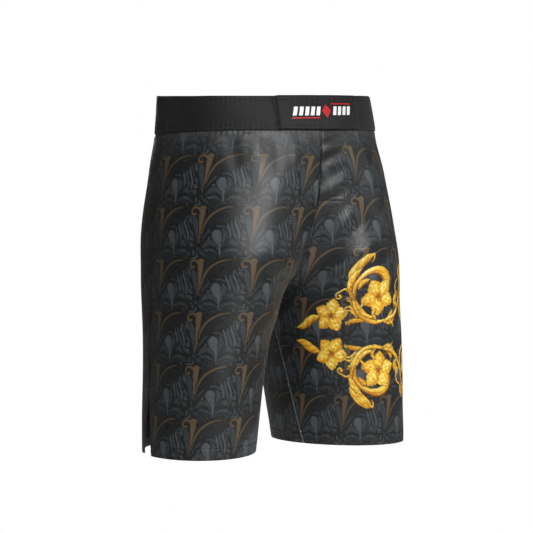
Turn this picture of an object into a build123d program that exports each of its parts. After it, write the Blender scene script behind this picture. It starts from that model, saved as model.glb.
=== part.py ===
from build123d import *

"""Grappling shorts: thigh-length fight shorts with side slits, inner-thigh panels, a hook-and-loop fly
and an overlapping waist flap. Every piece of cloth is a thin solid laid on one garment surface.

Frame: millimetres, +Z up, -Y is the wearer's front, +X is the wearer's left.
The origin is the centre of the waist opening, at the height of the waistband's top edge at the sides.
"""
import math
import os

import numpy as np

# ---------------------------------------------------------------- driving dimensions (mm)
OUTSEAM = 461.0            # waist level to hem
CROTCH_DEPTH = 262.0       # waist level to the lowest point of the crotch seam
FLY_DEPTH = 211.0          # waist level to the bottom of the fly
SLIT_TOP = 381.0           # depth where the side slit begins
SLIT_HALF_WIDTH = 14.0     # how far each slit edge stands back at the hem
SIDE_SEAM_BACK = 17.5      # how far behind the outermost line the side seam has drifted at the slit
CENTRE_RADIUS = 9.0        # how softly the two halves meet at the centre seams

# Half sections, one side of the garment. Each list holds (depth, value) at the stations that matter.
SIDE_REACH = [(0, 150), (50, 154), (105, 163), (160, 170), (262, 175), (461, 186)]
FRONT_DEPTH = [(0, 113), (50, 125), (205, 128), (262, 117), (461, 89)]
BACK_DEPTH = [(0, 113), (50, 121), (105, 129), (180, 136), (262, 118), (461, 88)]
INNER_FRONT = [(0, -150), (50, -157), (105, -82), (160, -52), (205, -28), (262, 0), (320, 18), (461, 33)]
INNER_BACK = [(0, -150), (50, -155), (105, -130), (160, -95), (205, -56), (262, 0), (320, 12), (461, 29)]
CENTRE_Y = [(0, 0), (461, -12)]
TWIST = [(0, 0), (160, 0.05), (262, 0.14), (390, 0.23), (461, 0.23)]

# Depths of the waistband's two edges, against the share of the way round one half (0 centre front,
# 0.5 side, 1 centre back). The band sits a little lower on the wearer's right than on the left.
BAND_TOP_LEFT = [(0, 13.3), (0.12, 8.8), (0.24, 3.1), (0.32, 0), (0.5, 0), (1, 0)]
BAND_TOP_RIGHT = [(0, 13.3), (0.12, 16.3), (0.24, 17.4), (0.36, 16.2), (0.48, 12.2),
                  (0.6, 6), (0.75, 1), (1, 0)]
BAND_BOTTOM_LEFT = [(0, 57.2), (0.12, 53.5), (0.24, 48.8), (0.36, 44.5), (0.5, 46), (0.7, 52), (1, 55)]
BAND_BOTTOM_RIGHT = [(0, 57.2), (0.12, 59.6), (0.24, 60.7), (0.36, 60.5), (0.48, 58.5),
                     (0.6, 55), (0.75, 54), (1, 55)]

CLOTH = 1.0                # main cloth
SEAM_GAP = 0.4             # from a centre seam to each panel's edge
TUCK = 10.0                # main panels run this far up inside the waistband
GUSSET_HALF_SHARE = 0.075  # inner-thigh panel at the hem, as a share of the half section
GUSSET_TOP = 274.0
GUSSET_GROWTH = 1.15       # how the inner-thigh panel widens from the crotch to the hem
FOLD_X = -70.0             # the right front folds open along this line
FOLD_GAP = 0.5             # from the fold line to the cloth on each side of it
FLAP_SEWN_X = -66.0        # the waist flap is sewn down from here
FLAP_FOLD_X = -57.0        # to here, where it turns
FLAP_END_X = 64.0          # and its free end is this far to the wearer's left
UNDERLAP_X = (-36.0, 36.0) # fly shield behind the fly
FLY_TAPE_X = (-30.0, -6.0) # hook and loop strips of the fly

# Layers, as (inner, outer) distances from the outer face of the main cloth.
PANEL_LAYER = (-CLOTH, 0.0)
BAND_LAYER = (0.3, 1.5)
ELASTIC_LAYER = (-1.5, -0.1)
LINING_LAYER = (-2.9, -1.9)
BAND_LOOP_LAYER = (1.8, 2.35)
FLAP_HOOK_LAYER = (2.65, 3.0)
FLAP_LAYER = (3.5, 4.7)
FLAP_ROOT_LAYER = (1.8, 4.7)
EMBLEM_LAYER = (5.0, 5.4)
FLY_HOOK_LAYER = (-1.9, -1.3)
FLY_LOOP_LAYER = (-3.1, -2.5)
UNDERLAP_LAYER = (-4.3, -3.3)
FACING_LAYER = (0.5, 1.1)
BARTACK_LAYER = (0.3, 0.9)
FLY_BARTACK_LAYER = (0.9, 1.5)
LABEL_LAYER = (-3.8, -3.3)

# Drawcord eyelets in the lining, either side of the fly.
EYELET_X = 46.0
EYELET_DEPTH = 37.0
EYELET_BORE = 3.0
EYELET_BARREL = 3.6
EYELET_FLANGE = 6.0
EYELET_FLANGE_T = 0.6
EYELET_HOLE = 3.95
EYELET_SPAN = (-4.05, -0.9)  # along the cloth's normal

EMBLEM_X = (-42.0, 50.0)
EMBLEM_DROP = 11.0         # from the band's top edge to the emblem
EMBLEM_HEIGHT = 19.0
FLY_FOLD_DEPTH = 205.0     # the folding part of the right front ends here
BAND_FOLD_DEPTH = 80.0     # and in the waistband the cut runs this deep
FOLD_BLOCK_TOP = 50.0      # the block that cuts the folding part: its top, middle and length
FOLD_BLOCK_Y = -100.0
FOLD_BLOCK_LENGTH = 198.0
BAND_END_SHARE = 0.0017    # the waistband's ends stop just short of the centre front


# ---------------------------------------------------------------- the garment surface
def monotone(points, x):
    """Smooth curve through (x, y) points that never overshoots them."""
    xs = np.array([p[0] for p in points], float)
    ys = np.array([p[1] for p in points], float)
    h = np.diff(xs)
    slope = np.diff(ys) / h
    tangent = np.zeros(len(xs))
    for i in range(1, len(xs) - 1):
        if slope[i - 1] * slope[i] > 0:
            w1 = 2 * h[i] + h[i - 1]
            w2 = h[i] + 2 * h[i - 1]
            tangent[i] = (w1 + w2) / (w1 / slope[i - 1] + w2 / slope[i])
    tangent[0] = slope[0]
    tangent[-1] = slope[-1]
    x = np.clip(x, xs[0], xs[-1])
    i = np.clip(np.searchsorted(xs, x, side="right") - 1, 0, len(h) - 1)
    t = (x - xs[i]) / h[i]
    rise = (2 * t**3 - 3 * t**2 + 1) * ys[i] + (3 * t**2 - 2 * t**3) * ys[i + 1]
    lean = (t**3 - 2 * t**2 + t) * tangent[i] + (t**3 - t**2) * tangent[i + 1]
    return rise + h[i] * lean


def half_section(depth):
    """Points of one half's horizontal section, from centre front (or inseam) round the side to the back.

    The section is an oval whose inner end lies beyond the centre plane above the crotch, where the
    centre plane cuts it off, and short of it below the crotch, where it is the closed leg opening.
    """
    side = monotone(SIDE_REACH, depth)
    front = monotone(FRONT_DEPTH, depth)
    back = monotone(BACK_DEPTH, depth)
    inner_front = monotone(INNER_FRONT, depth)
    inner_back = monotone(INNER_BACK, depth)
    centre_y = monotone(CENTRE_Y, depth)
    twist = monotone(TWIST, depth)
    turn = np.linspace(-math.pi, math.pi, 1441)
    inner = inner_front + (inner_back - inner_front) * (1 + np.sin(turn)) / 2
    middle = (side + inner) / 2
    x = middle + (side - inner) / 2 * np.cos(turn)
    y = np.where(turn < 0, front, back) * np.sin(turn) + centre_y - twist * (x - middle)
    soft = min(CENTRE_RADIUS, 0.5 * max(0.0, -inner[0]))
    if soft > 0:
        x = np.sign(x - soft) * np.sqrt(np.abs(x * np.abs(x) - soft * soft))
        first = int(np.argmax(x > 0))
        last = len(x) - 1 - int(np.argmax(x[::-1] > 0))
        ends = []
        for a, b in ((first - 1, first), (last + 1, last)):
            share = -x[a] / (x[b] - x[a])
            ends.append(y[a] + share * (y[b] - y[a]))
        x = np.concatenate([[0.0], x[first:last + 1], [0.0]])
        y = np.concatenate([[ends[0]], y[first:last + 1], [ends[1]]])
    return x, y


SECTION_CACHE = {}


def section_table(depth):
    """Share along the half section (0.5 is the outermost point) with its x and y."""
    key = round(float(depth), 4)
    if key not in SECTION_CACHE:
        x, y = half_section(key)
        run = np.concatenate([[0.0], np.cumsum(np.hypot(np.diff(x), np.diff(y)))])
        widest = run[int(np.argmax(x))]
        share = np.where(run <= widest, 0.5 * run / widest, 0.5 + 0.5 * (run - widest) / (run[-1] - widest))
        SECTION_CACHE[key] = (share, x, y)
    return SECTION_CACHE[key]


def surface_point(u, depth):
    """Point of the outer face. u runs 0 centre front, 1 centre back on the left, then 1 to 2 on the right."""
    share = u if u <= 1 else 2 - u
    hand = 1 if u <= 1 else -1
    if share < 0:
        share = share + 1 if depth > CROTCH_DEPTH else -share
        hand = hand if depth > CROTCH_DEPTH else -hand
    table, x, y = section_table(depth)
    return np.array([hand * np.interp(share, table, x), np.interp(share, table, y), -float(depth)])


def surface_normal(u, depth):
    du, dd = 0.004, 1.5
    across = surface_point(u + du, depth) - surface_point(u - du, depth)
    down = surface_point(u, depth + dd) - surface_point(u, depth - dd)
    normal = np.cross(across, down)
    return -normal / np.linalg.norm(normal)


def offset_point(u, depth, distance):
    return surface_point(u, depth) + distance * surface_normal(u, depth)


# ---------------------------------------------------------------- solids
def spread(start, end, count):
    return [start + (end - start) * i / (count - 1) for i in range(count)]


def sheet_face(grid, distance):
    """Face through a grid of garment points, all at one distance from the surface."""
    points = [[Vector(*offset_point(u, depth, distance)) for u, depth in row] for row in grid]
    return Face.make_surface_from_array_of_points(points, tol=0.01, min_deg=1, max_deg=1)


def layer_solid(grid, layer):
    """Closed solid between two distances from the garment surface, over a grid of (u, depth) rows."""
    inner, outer = [sheet_face(grid, distance) for distance in layer]
    faces = [inner, outer]
    for edge in outer.edges():
        middle = edge.position_at(0.5)
        opposite = min(inner.edges(), key=lambda e: (e.position_at(0.5) - middle).length)
        faces.append(Face.make_surface_from_curves(edge, opposite))
    return Solid(Shell(faces))


def band_edge(left, right, u):
    """Depth of a waistband edge at u, which is below 0 or above 1 on the wearer's right."""
    share = abs(u) if u <= 1 else 2 - u
    return float(monotone(right if u < 0 or u > 1 else left, share))


def band_top(u):
    return band_edge(BAND_TOP_LEFT, BAND_TOP_RIGHT, u)


def band_bottom(u):
    return band_edge(BAND_BOTTOM_LEFT, BAND_BOTTOM_RIGHT, u)


def share_at_x(x, depth):
    """Share along the front of the half section where it reaches x."""
    table, xs, ys = section_table(depth)
    front = table <= 0.5
    return float(np.interp(x, xs[front], table[front]))


def share_per_mm(depth):
    table, x, y = section_table(depth)
    return 1.0 / float(np.sum(np.hypot(np.diff(x), np.diff(y))))


def gusset_share(depth):
    down = max(0.0, (depth - CROTCH_DEPTH) / (OUTSEAM - CROTCH_DEPTH))
    return GUSSET_HALF_SHARE * down**GUSSET_GROWTH


def side_seam(depth):
    """Share where the side seam runs. It drifts back from the outermost line on its way to the slit."""
    return 0.5 + SIDE_SEAM_BACK * min(1.0, depth / SLIT_TOP) * share_per_mm(depth)


def slit_share(depth):
    """Half the opening between front and back panel at the side, as a share of the half section."""
    open_mm = SLIT_HALF_WIDTH * max(0.0, (depth - SLIT_TOP) / (OUTSEAM - SLIT_TOP))
    return (0.15 + open_mm) * share_per_mm(depth)


def inner_edge(count):
    """(share, depth) down the centre seam, under the crotch and along the inner-thigh seam."""
    depths = np.concatenate([np.linspace(band_bottom(0) - TUCK, 200, 80),
                             np.linspace(200, CROTCH_DEPTH, 200)[1:],
                             np.linspace(CROTCH_DEPTH, OUTSEAM, 80)[1:]])
    edge = [(gusset_share(d) + SEAM_GAP * share_per_mm(d), d) for d in depths]
    places = np.array([surface_point(share, d) for share, d in edge])
    run = np.concatenate([[0], np.cumsum(np.linalg.norm(np.diff(places, axis=0), axis=1))])
    picked = [float(np.interp(v, run, depths)) for v in np.linspace(0, run[-1], count)]
    return [(gusset_share(d) + SEAM_GAP * share_per_mm(d), d) for d in picked]


def main_panel(back, right, rows=46, columns=26):
    """Front or back panel of one side, waistband to hem."""
    edge = inner_edge(rows)
    side_top = band_bottom(1.5 if right else 0.5) - TUCK
    grid = []
    for i, (inner_share, inner_depth) in enumerate(edge):
        side_depth = side_top + (OUTSEAM - side_top) * i / (rows - 1)
        seam = side_seam(side_depth)
        side_share = (1 - seam if back else seam) - slit_share(side_depth)
        follow_band = max(0.0, 1 - i / 8)
        row = []
        for j in range(columns):
            part = j / (columns - 1)
            share = inner_share + (side_share - inner_share) * part
            depth = inner_depth + (side_depth - inner_depth) * part
            real_share = 1 - share if back else share
            straight = edge[0][1] + (side_top - edge[0][1]) * part
            u = 2 - real_share if right else real_share
            depth += follow_band * (band_bottom(u) - TUCK - straight)
            row.append((u, min(depth, OUTSEAM)))
        grid.append(row)
    return layer_solid(grid, PANEL_LAYER)


def inner_thigh_panel(right, rows=24, columns=9):
    """Wedge of cloth from just under the crotch to the hem, on the inside of the thigh."""
    grid = []
    for depth in spread(GUSSET_TOP, OUTSEAM, rows):
        shares = spread(-gusset_share(depth), gusset_share(depth), columns)
        grid.append([(2 - share if right else share, depth) for share in shares])
    return layer_solid(grid, PANEL_LAYER)


def band(layer, inset_top, inset_bottom, first, last, columns, rows=4):
    """Strip of the waistband between two places on the way round."""
    grid = []
    for part in spread(0, 1, rows):
        row = []
        for u in spread(first, last, columns):
            top = band_top(u) + inset_top
            bottom = band_bottom(u) - inset_bottom
            row.append((u, top + (bottom - top) * part))
        grid.append(row)
    return layer_solid(grid, layer)


def front_patch(x_range, top, bottom, layer, columns, rows):
    """Patch on the front between two x places. top and bottom give the depth at u."""
    grid = []
    for part in spread(0, 1, rows):
        row = []
        for x in spread(*x_range, columns):
            hand = 1 if x >= 0 else -1
            u = hand * share_at_x(abs(x), top(0.0))
            depth = top(u) + (bottom(u) - top(u)) * part
            row.append((hand * share_at_x(abs(x), depth), depth))
        grid.append(row)
    return layer_solid(grid, layer)


def level(depth):
    return lambda u: depth


def below(edge, distance):
    return lambda u: edge(u) + distance


def fold_box(side, lowest):
    """Block over the right front. It takes what folds open (side 1), or a little more, to cut it free (-1)."""
    width = -(FOLD_X + side * FOLD_GAP)
    height = FOLD_BLOCK_TOP + lowest
    return Pos(-width / 2, FOLD_BLOCK_Y, FOLD_BLOCK_TOP - height / 2) * Box(width, FOLD_BLOCK_LENGTH, height)


def eyelet_place(x):
    share = share_at_x(abs(x), EYELET_DEPTH)
    u = share if x > 0 else 2 - share
    normal = Vector(*surface_normal(u, EYELET_DEPTH))
    return Plane(origin=Vector(*surface_point(u, EYELET_DEPTH)), z_dir=normal)


def disc(place, radius, low, high):
    return place * Pos(0, 0, (low + high) / 2) * Cylinder(radius, high - low)


def eyelet(x):
    place = eyelet_place(x)
    ring = disc(place, EYELET_BARREL, *EYELET_SPAN)
    ring += disc(place, EYELET_FLANGE, EYELET_SPAN[0], EYELET_SPAN[0] + EYELET_FLANGE_T)
    ring += disc(place, EYELET_FLANGE, EYELET_SPAN[1] - EYELET_FLANGE_T, EYELET_SPAN[1])
    return ring - disc(place, EYELET_BORE, -10, 10)


def bar(u, depth, half_width_mm, height, layer):
    """Short bar of dense stitching, across a seam end."""
    half = half_width_mm * share_per_mm(depth)
    grid = [[(v, d) for v in spread(u - half, u + half, 5)] for d in spread(depth, depth + height, 4)]
    return layer_solid(grid, layer)


# ---------------------------------------------------------------- the pieces
def build_parts():
    parts = {}
    for side, right in (("right", True), ("left", False)):
        parts[f"front_panel_{side}"] = main_panel(back=False, right=right)
        parts[f"back_panel_{side}"] = main_panel(back=True, right=right)
        parts[f"inner_thigh_panel_{side}"] = inner_thigh_panel(right)
        seam = side_seam(SLIT_TOP - 4.5)
        place = 2 - seam if right else seam
        parts[f"slit_bartack_{side}"] = bar(place, SLIT_TOP - 4.5, 4.0, 3.0, BARTACK_LAYER)

    right_front = parts["front_panel_right"]
    parts["front_panel_right"] = right_front - fold_box(-1, FLY_FOLD_DEPTH + FOLD_GAP)
    parts["fly_flap"] = right_front & fold_box(1, FLY_FOLD_DEPTH - FOLD_GAP)

    for name, layer, inset in (("waistband", BAND_LAYER, 0), ("waistband_lining", LINING_LAYER, 2)):
        whole = band(layer, inset, inset, BAND_END_SHARE, 2 - BAND_END_SHARE, 97)
        parts[name] = whole - fold_box(-1, BAND_FOLD_DEPTH)
        parts[name.replace("waistband", "band_end")] = whole & fold_box(1, BAND_FOLD_DEPTH)
    parts["waist_elastic"] = band(ELASTIC_LAYER, 5, 17, 0.56, 1.44, 49)

    for side, x, cloth in (("left", EYELET_X, "waistband_lining"), ("right", -EYELET_X, "band_end_lining")):
        parts[cloth] -= disc(eyelet_place(x), EYELET_HOLE, -8, -0.5)
        parts[f"drawcord_eyelet_{side}"] = eyelet(x)

    flap_x = (FLAP_FOLD_X + 0.3, FLAP_END_X)
    flap_top = below(band_top, 0.5)
    flap_bottom = below(band_bottom, -1)
    parts["waist_flap"] = front_patch(flap_x, flap_top, flap_bottom, FLAP_LAYER, 33, 4)
    parts["flap_root"] = front_patch((FLAP_SEWN_X, FLAP_FOLD_X - 0.3), flap_top, flap_bottom,
                                     FLAP_ROOT_LAYER, 5, 4)
    tape_top = below(band_top, 6)
    tape_bottom = below(band_bottom, -6)
    parts["flap_hook_tape"] = front_patch((FLAP_END_X - 44, FLAP_END_X - 4), tape_top, tape_bottom,
                                          FLAP_HOOK_LAYER, 13, 4)
    parts["band_loop_tape"] = front_patch((FLAP_END_X - 60, FLAP_END_X - 3), tape_top, tape_bottom,
                                          BAND_LOOP_LAYER, 17, 4)
    parts["flap_emblem"] = front_patch(EMBLEM_X, below(band_top, EMBLEM_DROP),
                                       below(band_top, EMBLEM_DROP + EMBLEM_HEIGHT), EMBLEM_LAYER, 25, 4)

    parts["fly_shield"] = front_patch(UNDERLAP_X, level(24), level(FLY_DEPTH + 5), UNDERLAP_LAYER, 31, 20)
    parts["fly_hook_tape"] = front_patch(FLY_TAPE_X, level(66), level(190), FLY_HOOK_LAYER, 11, 14)
    parts["fly_loop_tape"] = front_patch(FLY_TAPE_X, level(64), level(192), FLY_LOOP_LAYER, 11, 14)
    parts["fly_facing"] = front_patch((1.0, 35.0), below(band_bottom, 0.5), level(144), FACING_LAYER, 15, 10)
    parts["fly_bartack"] = bar(0, FLY_DEPTH - 1, 4.0, 4.0, FLY_BARTACK_LAYER)
    parts["inside_label"] = band(LABEL_LAYER, 12, 10, 0.955, 1.045, 9)
    return parts


os.makedirs("parts", exist_ok=True)
for node, shape in build_parts().items():
    shape.label = node
    export_step(shape, f"parts/{node}.step")
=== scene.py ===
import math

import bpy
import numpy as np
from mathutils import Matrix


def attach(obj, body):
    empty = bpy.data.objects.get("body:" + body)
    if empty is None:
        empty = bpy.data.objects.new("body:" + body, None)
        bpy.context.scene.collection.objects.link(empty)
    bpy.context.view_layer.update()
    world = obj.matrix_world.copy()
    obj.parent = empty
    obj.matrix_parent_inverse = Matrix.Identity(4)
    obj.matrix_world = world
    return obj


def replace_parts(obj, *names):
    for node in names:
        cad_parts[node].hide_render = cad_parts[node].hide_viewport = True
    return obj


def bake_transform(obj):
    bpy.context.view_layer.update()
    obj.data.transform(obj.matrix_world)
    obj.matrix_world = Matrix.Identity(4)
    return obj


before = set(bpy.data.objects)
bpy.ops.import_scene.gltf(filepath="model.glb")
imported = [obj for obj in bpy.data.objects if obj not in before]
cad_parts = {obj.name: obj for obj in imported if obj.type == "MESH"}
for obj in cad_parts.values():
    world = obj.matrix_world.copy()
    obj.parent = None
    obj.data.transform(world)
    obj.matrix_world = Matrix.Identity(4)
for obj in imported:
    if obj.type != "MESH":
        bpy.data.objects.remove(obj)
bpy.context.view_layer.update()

# Looks of the fight shorts: printed cloth, waistband, flap, seams, stitching, tapes and studio light.
#
# Lengths are worked out in millimetres on the garment's own surface and turned into metres when a mesh is
# made. A place on the cloth is a side (+1 the wearer's left, -1 the right), a share round that half (0 at
# the centre front or inseam, 0.5 at the side seam, 1 at the centre back or inseam) and a depth below the
# waist level.

MM = 0.001

# ---------------------------------------------------------------- the garment's surface (mm)
OUTSEAM = 461.0
CROTCH_DEPTH = 262.0
FLY_DEPTH = 211.0
SLIT_TOP = 381.0
SLIT_HALF_WIDTH = 14.0
SIDE_SEAM_BACK = 17.5
CENTRE_RADIUS = 9.0
SIDE_REACH = [(0, 150), (50, 154), (105, 163), (160, 170), (262, 175), (461, 186)]
FRONT_DEPTH = [(0, 113), (50, 125), (205, 128), (262, 117), (461, 89)]
BACK_DEPTH = [(0, 113), (50, 121), (105, 129), (180, 136), (262, 118), (461, 88)]
INNER_FRONT = [(0, -150), (50, -157), (105, -82), (160, -52), (205, -28), (262, 0), (320, 18), (461, 33)]
INNER_BACK = [(0, -150), (50, -155), (105, -130), (160, -95), (205, -56), (262, 0), (320, 12), (461, 29)]
CENTRE_Y = [(0, 0), (461, -12)]
TWIST = [(0, 0), (160, 0.05), (262, 0.14), (390, 0.23), (461, 0.23)]
BAND_TOP_LEFT = [(0, 13.3), (0.12, 8.8), (0.24, 3.1), (0.32, 0), (0.5, 0), (1, 0)]
BAND_TOP_RIGHT = [(0, 13.3), (0.12, 16.3), (0.24, 17.4), (0.36, 16.2), (0.48, 12.2), (0.6, 6), (0.75, 1),
                  (1, 0)]
BAND_BOTTOM_LEFT = [(0, 57.2), (0.12, 53.5), (0.24, 48.8), (0.36, 44.5), (0.5, 46), (0.7, 52), (1, 55)]
BAND_BOTTOM_RIGHT = [(0, 57.2), (0.12, 59.6), (0.24, 60.7), (0.36, 60.5), (0.48, 58.5), (0.6, 55), (0.75, 54),
                     (1, 55)]
TUCK = 10.0
SEAM_GAP = 0.05
GUSSET_HALF_SHARE = 0.075
GUSSET_TOP = 274.0
GUSSET_GROWTH = 1.15
HEM_FOLD = 14.5
SIDE_SHARE = 0.5
SECTION_POINTS = 1441
HALF_WAIST = 500.0
BAND_MIDDLE = 40.0


def monotone(points, x):
    """Smooth curve through (x, y) points that never overshoots them."""
    xs = np.array([p[0] for p in points], float)
    ys = np.array([p[1] for p in points], float)
    h = np.diff(xs)
    slope = np.diff(ys) / h
    tangent = np.zeros(len(xs))
    for i in range(1, len(xs) - 1):
        if slope[i - 1] * slope[i] > 0:
            w1 = 2 * h[i] + h[i - 1]
            w2 = h[i] + 2 * h[i - 1]
            tangent[i] = (w1 + w2) / (w1 / slope[i - 1] + w2 / slope[i])
    tangent[0] = slope[0]
    tangent[-1] = slope[-1]
    x = np.clip(x, xs[0], xs[-1])
    i = np.clip(np.searchsorted(xs, x, side="right") - 1, 0, len(h) - 1)
    t = (x - xs[i]) / h[i]
    rise = (2 * t**3 - 3 * t**2 + 1) * ys[i] + (3 * t**2 - 2 * t**3) * ys[i + 1]
    lean = (t**3 - 2 * t**2 + t) * tangent[i] + (t**3 - t**2) * tangent[i + 1]
    return rise + h[i] * lean


def half_section(depth):
    """One half's horizontal section, from centre front or inseam, round the side, to the back."""
    side, front, back, inner_front, inner_back, centre_y, twist = (
        monotone(table, depth)
        for table in (SIDE_REACH, FRONT_DEPTH, BACK_DEPTH, INNER_FRONT, INNER_BACK, CENTRE_Y, TWIST))
    turn = np.linspace(-math.pi, math.pi, SECTION_POINTS)
    inner = inner_front + (inner_back - inner_front) * (1 + np.sin(turn)) / 2
    middle = (side + inner) / 2
    x = middle + (side - inner) / 2 * np.cos(turn)
    y = np.where(turn < 0, front, back) * np.sin(turn) + centre_y - twist * (x - middle)
    soft = min(CENTRE_RADIUS, 0.5 * max(0.0, -inner[0]))
    if soft > 0:
        x = np.sign(x - soft) * np.sqrt(np.abs(x * np.abs(x) - soft * soft))
        first = int(np.argmax(x > 0))
        last = len(x) - 1 - int(np.argmax(x[::-1] > 0))
        front_y, back_y = (y[a] - x[a] / (x[b] - x[a]) * (y[b] - y[a])
                           for a, b in ((first - 1, first), (last + 1, last)))
        x = np.concatenate([[0.0], x[first:last + 1], [0.0]])
        y = np.concatenate([[front_y], y[first:last + 1], [back_y]])
    return x, y


def unit(vectors):
    return vectors / np.maximum(np.linalg.norm(vectors, axis=-1, keepdims=True), 1e-9)


def run_length(points):
    """Distance along a row of points, from the first to each."""
    return np.concatenate([[0.0], np.cumsum(np.linalg.norm(np.diff(points, axis=0), axis=1))])


def at_run(where, run, rows):
    """Points or vectors between rows, at distances along their run."""
    return np.stack([np.interp(where, run, rows[:, k]) for k in range(3)], -1)


DEPTH_STEP = 0.5
TABLE_DEPTHS = np.arange(0, OUTSEAM + DEPTH_STEP / 2, DEPTH_STEP)
TABLE_SHARES = np.linspace(0, 1, 801)


def build_tables():
    """x, y and the run from the inner end (mm) over a grid of depths and shares."""
    tables = np.zeros((3, len(TABLE_DEPTHS), len(TABLE_SHARES)))
    for i, depth in enumerate(TABLE_DEPTHS):
        x, y = half_section(depth)
        run = run_length(np.stack([x, y], -1))
        widest = run[int(np.argmax(x))]
        share = np.where(run <= widest, 0.5 * run / widest, 0.5 + 0.5 * (run - widest) / (run[-1] - widest))
        for table, values in zip(tables, (x, y, run)):
            table[i] = np.interp(TABLE_SHARES, share, values)
    return tables


TABLE_X, TABLE_Y, TABLE_RUN = build_tables()


def look_up(table, share, depth):
    """Value of a table between its grid points."""
    row = np.clip(np.asarray(depth, float) / DEPTH_STEP, 0, len(TABLE_DEPTHS) - 1.0001)
    column = np.clip(np.asarray(share, float), 0, 1) * (len(TABLE_SHARES) - 1.0001)
    i, j = row.astype(int), column.astype(int)
    a, b = row - i, column - j
    top = table[i, j] * (1 - b) + table[i, j + 1] * b
    low = table[i + 1, j] * (1 - b) + table[i + 1, j + 1] * b
    return top * (1 - a) + low * a


def settle(side, share, depth):
    """Brings a share outside 0..1 back: across the centre line above the crotch, round the leg below it."""
    share, depth = np.broadcast_arrays(np.asarray(share, float), np.asarray(depth, float))
    outside = (share < 0) | (share > 1)
    leg = depth > CROTCH_DEPTH
    mirrored = np.where(share < 0, -share, np.where(share > 1, 2 - share, share))
    hand = np.where(outside & ~leg, -side, side)
    return np.where(leg, share - np.floor(share * 0.999999), mirrored), hand, depth


def surface(side, share, depth):
    """Points of the main cloth's outer face, before folds."""
    share, hand, depth = settle(side, share, depth)
    x = hand * look_up(TABLE_X, share, depth)
    y = look_up(TABLE_Y, share, depth)
    return np.stack([x, y, -depth], -1)


def normals(side, share, depth):
    """Unit normals of the main cloth, pointing out of the garment."""
    step, down_step = 0.004, 1.5
    across = surface(side, share + step, depth) - surface(side, share - step, depth)
    down = (surface(side, share, np.minimum(depth + down_step, OUTSEAM))
            - surface(side, share, np.maximum(depth - down_step, 0)))
    return unit(np.cross(across, down) * -side)


def run_at(share, depth):
    return look_up(TABLE_RUN, share, depth)


def share_per_mm(depth):
    return 1 / np.interp(depth, TABLE_DEPTHS, TABLE_RUN[:, -1])


def share_at_x(x, depth):
    """Signed share on the left side where the front reaches x; negative is across the centre line."""
    x, depth = np.broadcast_arrays(np.asarray(x, float), np.asarray(depth, float))
    low, high = np.zeros(x.shape), np.full(x.shape, 0.5)
    for _ in range(22):
        middle = (low + high) / 2
        short = look_up(TABLE_X, middle, depth) < np.abs(x)
        low = np.where(short, middle, low)
        high = np.where(short, high, middle)
    return np.sign(x) * (low + high) / 2


def band_edge(left, right, u):
    """Depth of a waistband edge at u, which is below 0 or above 1 on the wearer's right."""
    u = np.asarray(u, float)
    share = np.where(u <= 1, np.abs(u), 2 - u)
    return np.where((u < 0) | (u > 1), monotone(right, share), monotone(left, share))


def band_top(u):
    return band_edge(BAND_TOP_LEFT, BAND_TOP_RIGHT, u)


def band_bottom(u):
    return band_edge(BAND_BOTTOM_LEFT, BAND_BOTTOM_RIGHT, u)


def band_bottom_at_side(side):
    return float(band_bottom(0.5 if side > 0 else 1.5))


def side_seam(depth):
    """Share where the side seam runs. It drifts back from the outermost line on its way to the slit."""
    return 0.5 + SIDE_SEAM_BACK * np.minimum(1.0, np.asarray(depth) / SLIT_TOP) * share_per_mm(depth)


def slit_opening(depth):
    """Half the side slit's opening in mm."""
    return SLIT_HALF_WIDTH * np.maximum(0, (np.asarray(depth) - SLIT_TOP) / (OUTSEAM - SLIT_TOP))


def gusset_share(depth):
    down = np.maximum(0.0, (np.asarray(depth, float) - CROTCH_DEPTH) / (OUTSEAM - CROTCH_DEPTH))
    return GUSSET_HALF_SHARE * down**GUSSET_GROWTH


def smooth(edge0, edge1, x):
    t = np.clip((np.asarray(x, float) - edge0) / (edge1 - edge0), 0, 1)
    return t * t * (3 - 2 * t)


# ---------------------------------------------------------------- folds of the cloth
# Soft folds as (start x z, end x z, half width, height), mm. Height below 0 is a valley.
FRONT_FOLDS = [
    ((14, -240), (104, -178), 9, 3.6),
    ((16, -256), (112, -208), 9, -3.6),
    ((10, -222), (74, -158), 9, -2.2),
    ((24, -278), (104, -236), 10, 2.6),
    ((8, -205), (50, -150), 7, 1.6),
    ((-12, -250), (-96, -190), 12, 1.8),
    ((-14, -268), (-104, -222), 10, -1.8),
    ((-20, -300), (-96, -262), 13, 1.4),
    ((-84, -60), (-92, -135), 9, 1.7),
    ((-112, -60), (-112, -120), 8, -1.4),
    ((-62, -58), (-66, -118), 7, -1.2),
    ((-40, -60), (-38, -112), 8, 1.2),
    ((74, -60), (86, -130), 9, 1.2),
    ((-150, -330), (-128, -420), 16, 1.4),
    ((-70, -330), (-84, -440), 15, -1.2),
    ((60, -340), (74, -440), 16, 1.2),
]
BACK_FOLDS = [
    ((10, -236), (110, -190), 12, 2.2),
    ((-10, -236), (-110, -190), 12, 2.2),
    ((16, -258), (120, -226), 12, -2.0),
    ((-16, -258), (-120, -226), 12, -2.0),
    ((60, -62), (66, -130), 10, 1.6),
    ((-58, -62), (-64, -126), 10, 1.6),
    ((110, -64), (112, -120), 9, -1.3),
    ((-108, -64), (-112, -120), 9, -1.3),
    ((70, -300), (90, -430), 16, 1.4),
    ((-74, -300), (-90, -420), 16, 1.4),
]
FACING_X = (1.0, 35.0)
FACING_BOTTOM = 144.0
GATHERS = 23
GATHER_HEIGHT = 0.6
PUCKER_PITCH = 23.0
PUCKER_HEIGHT = 0.55


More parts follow.
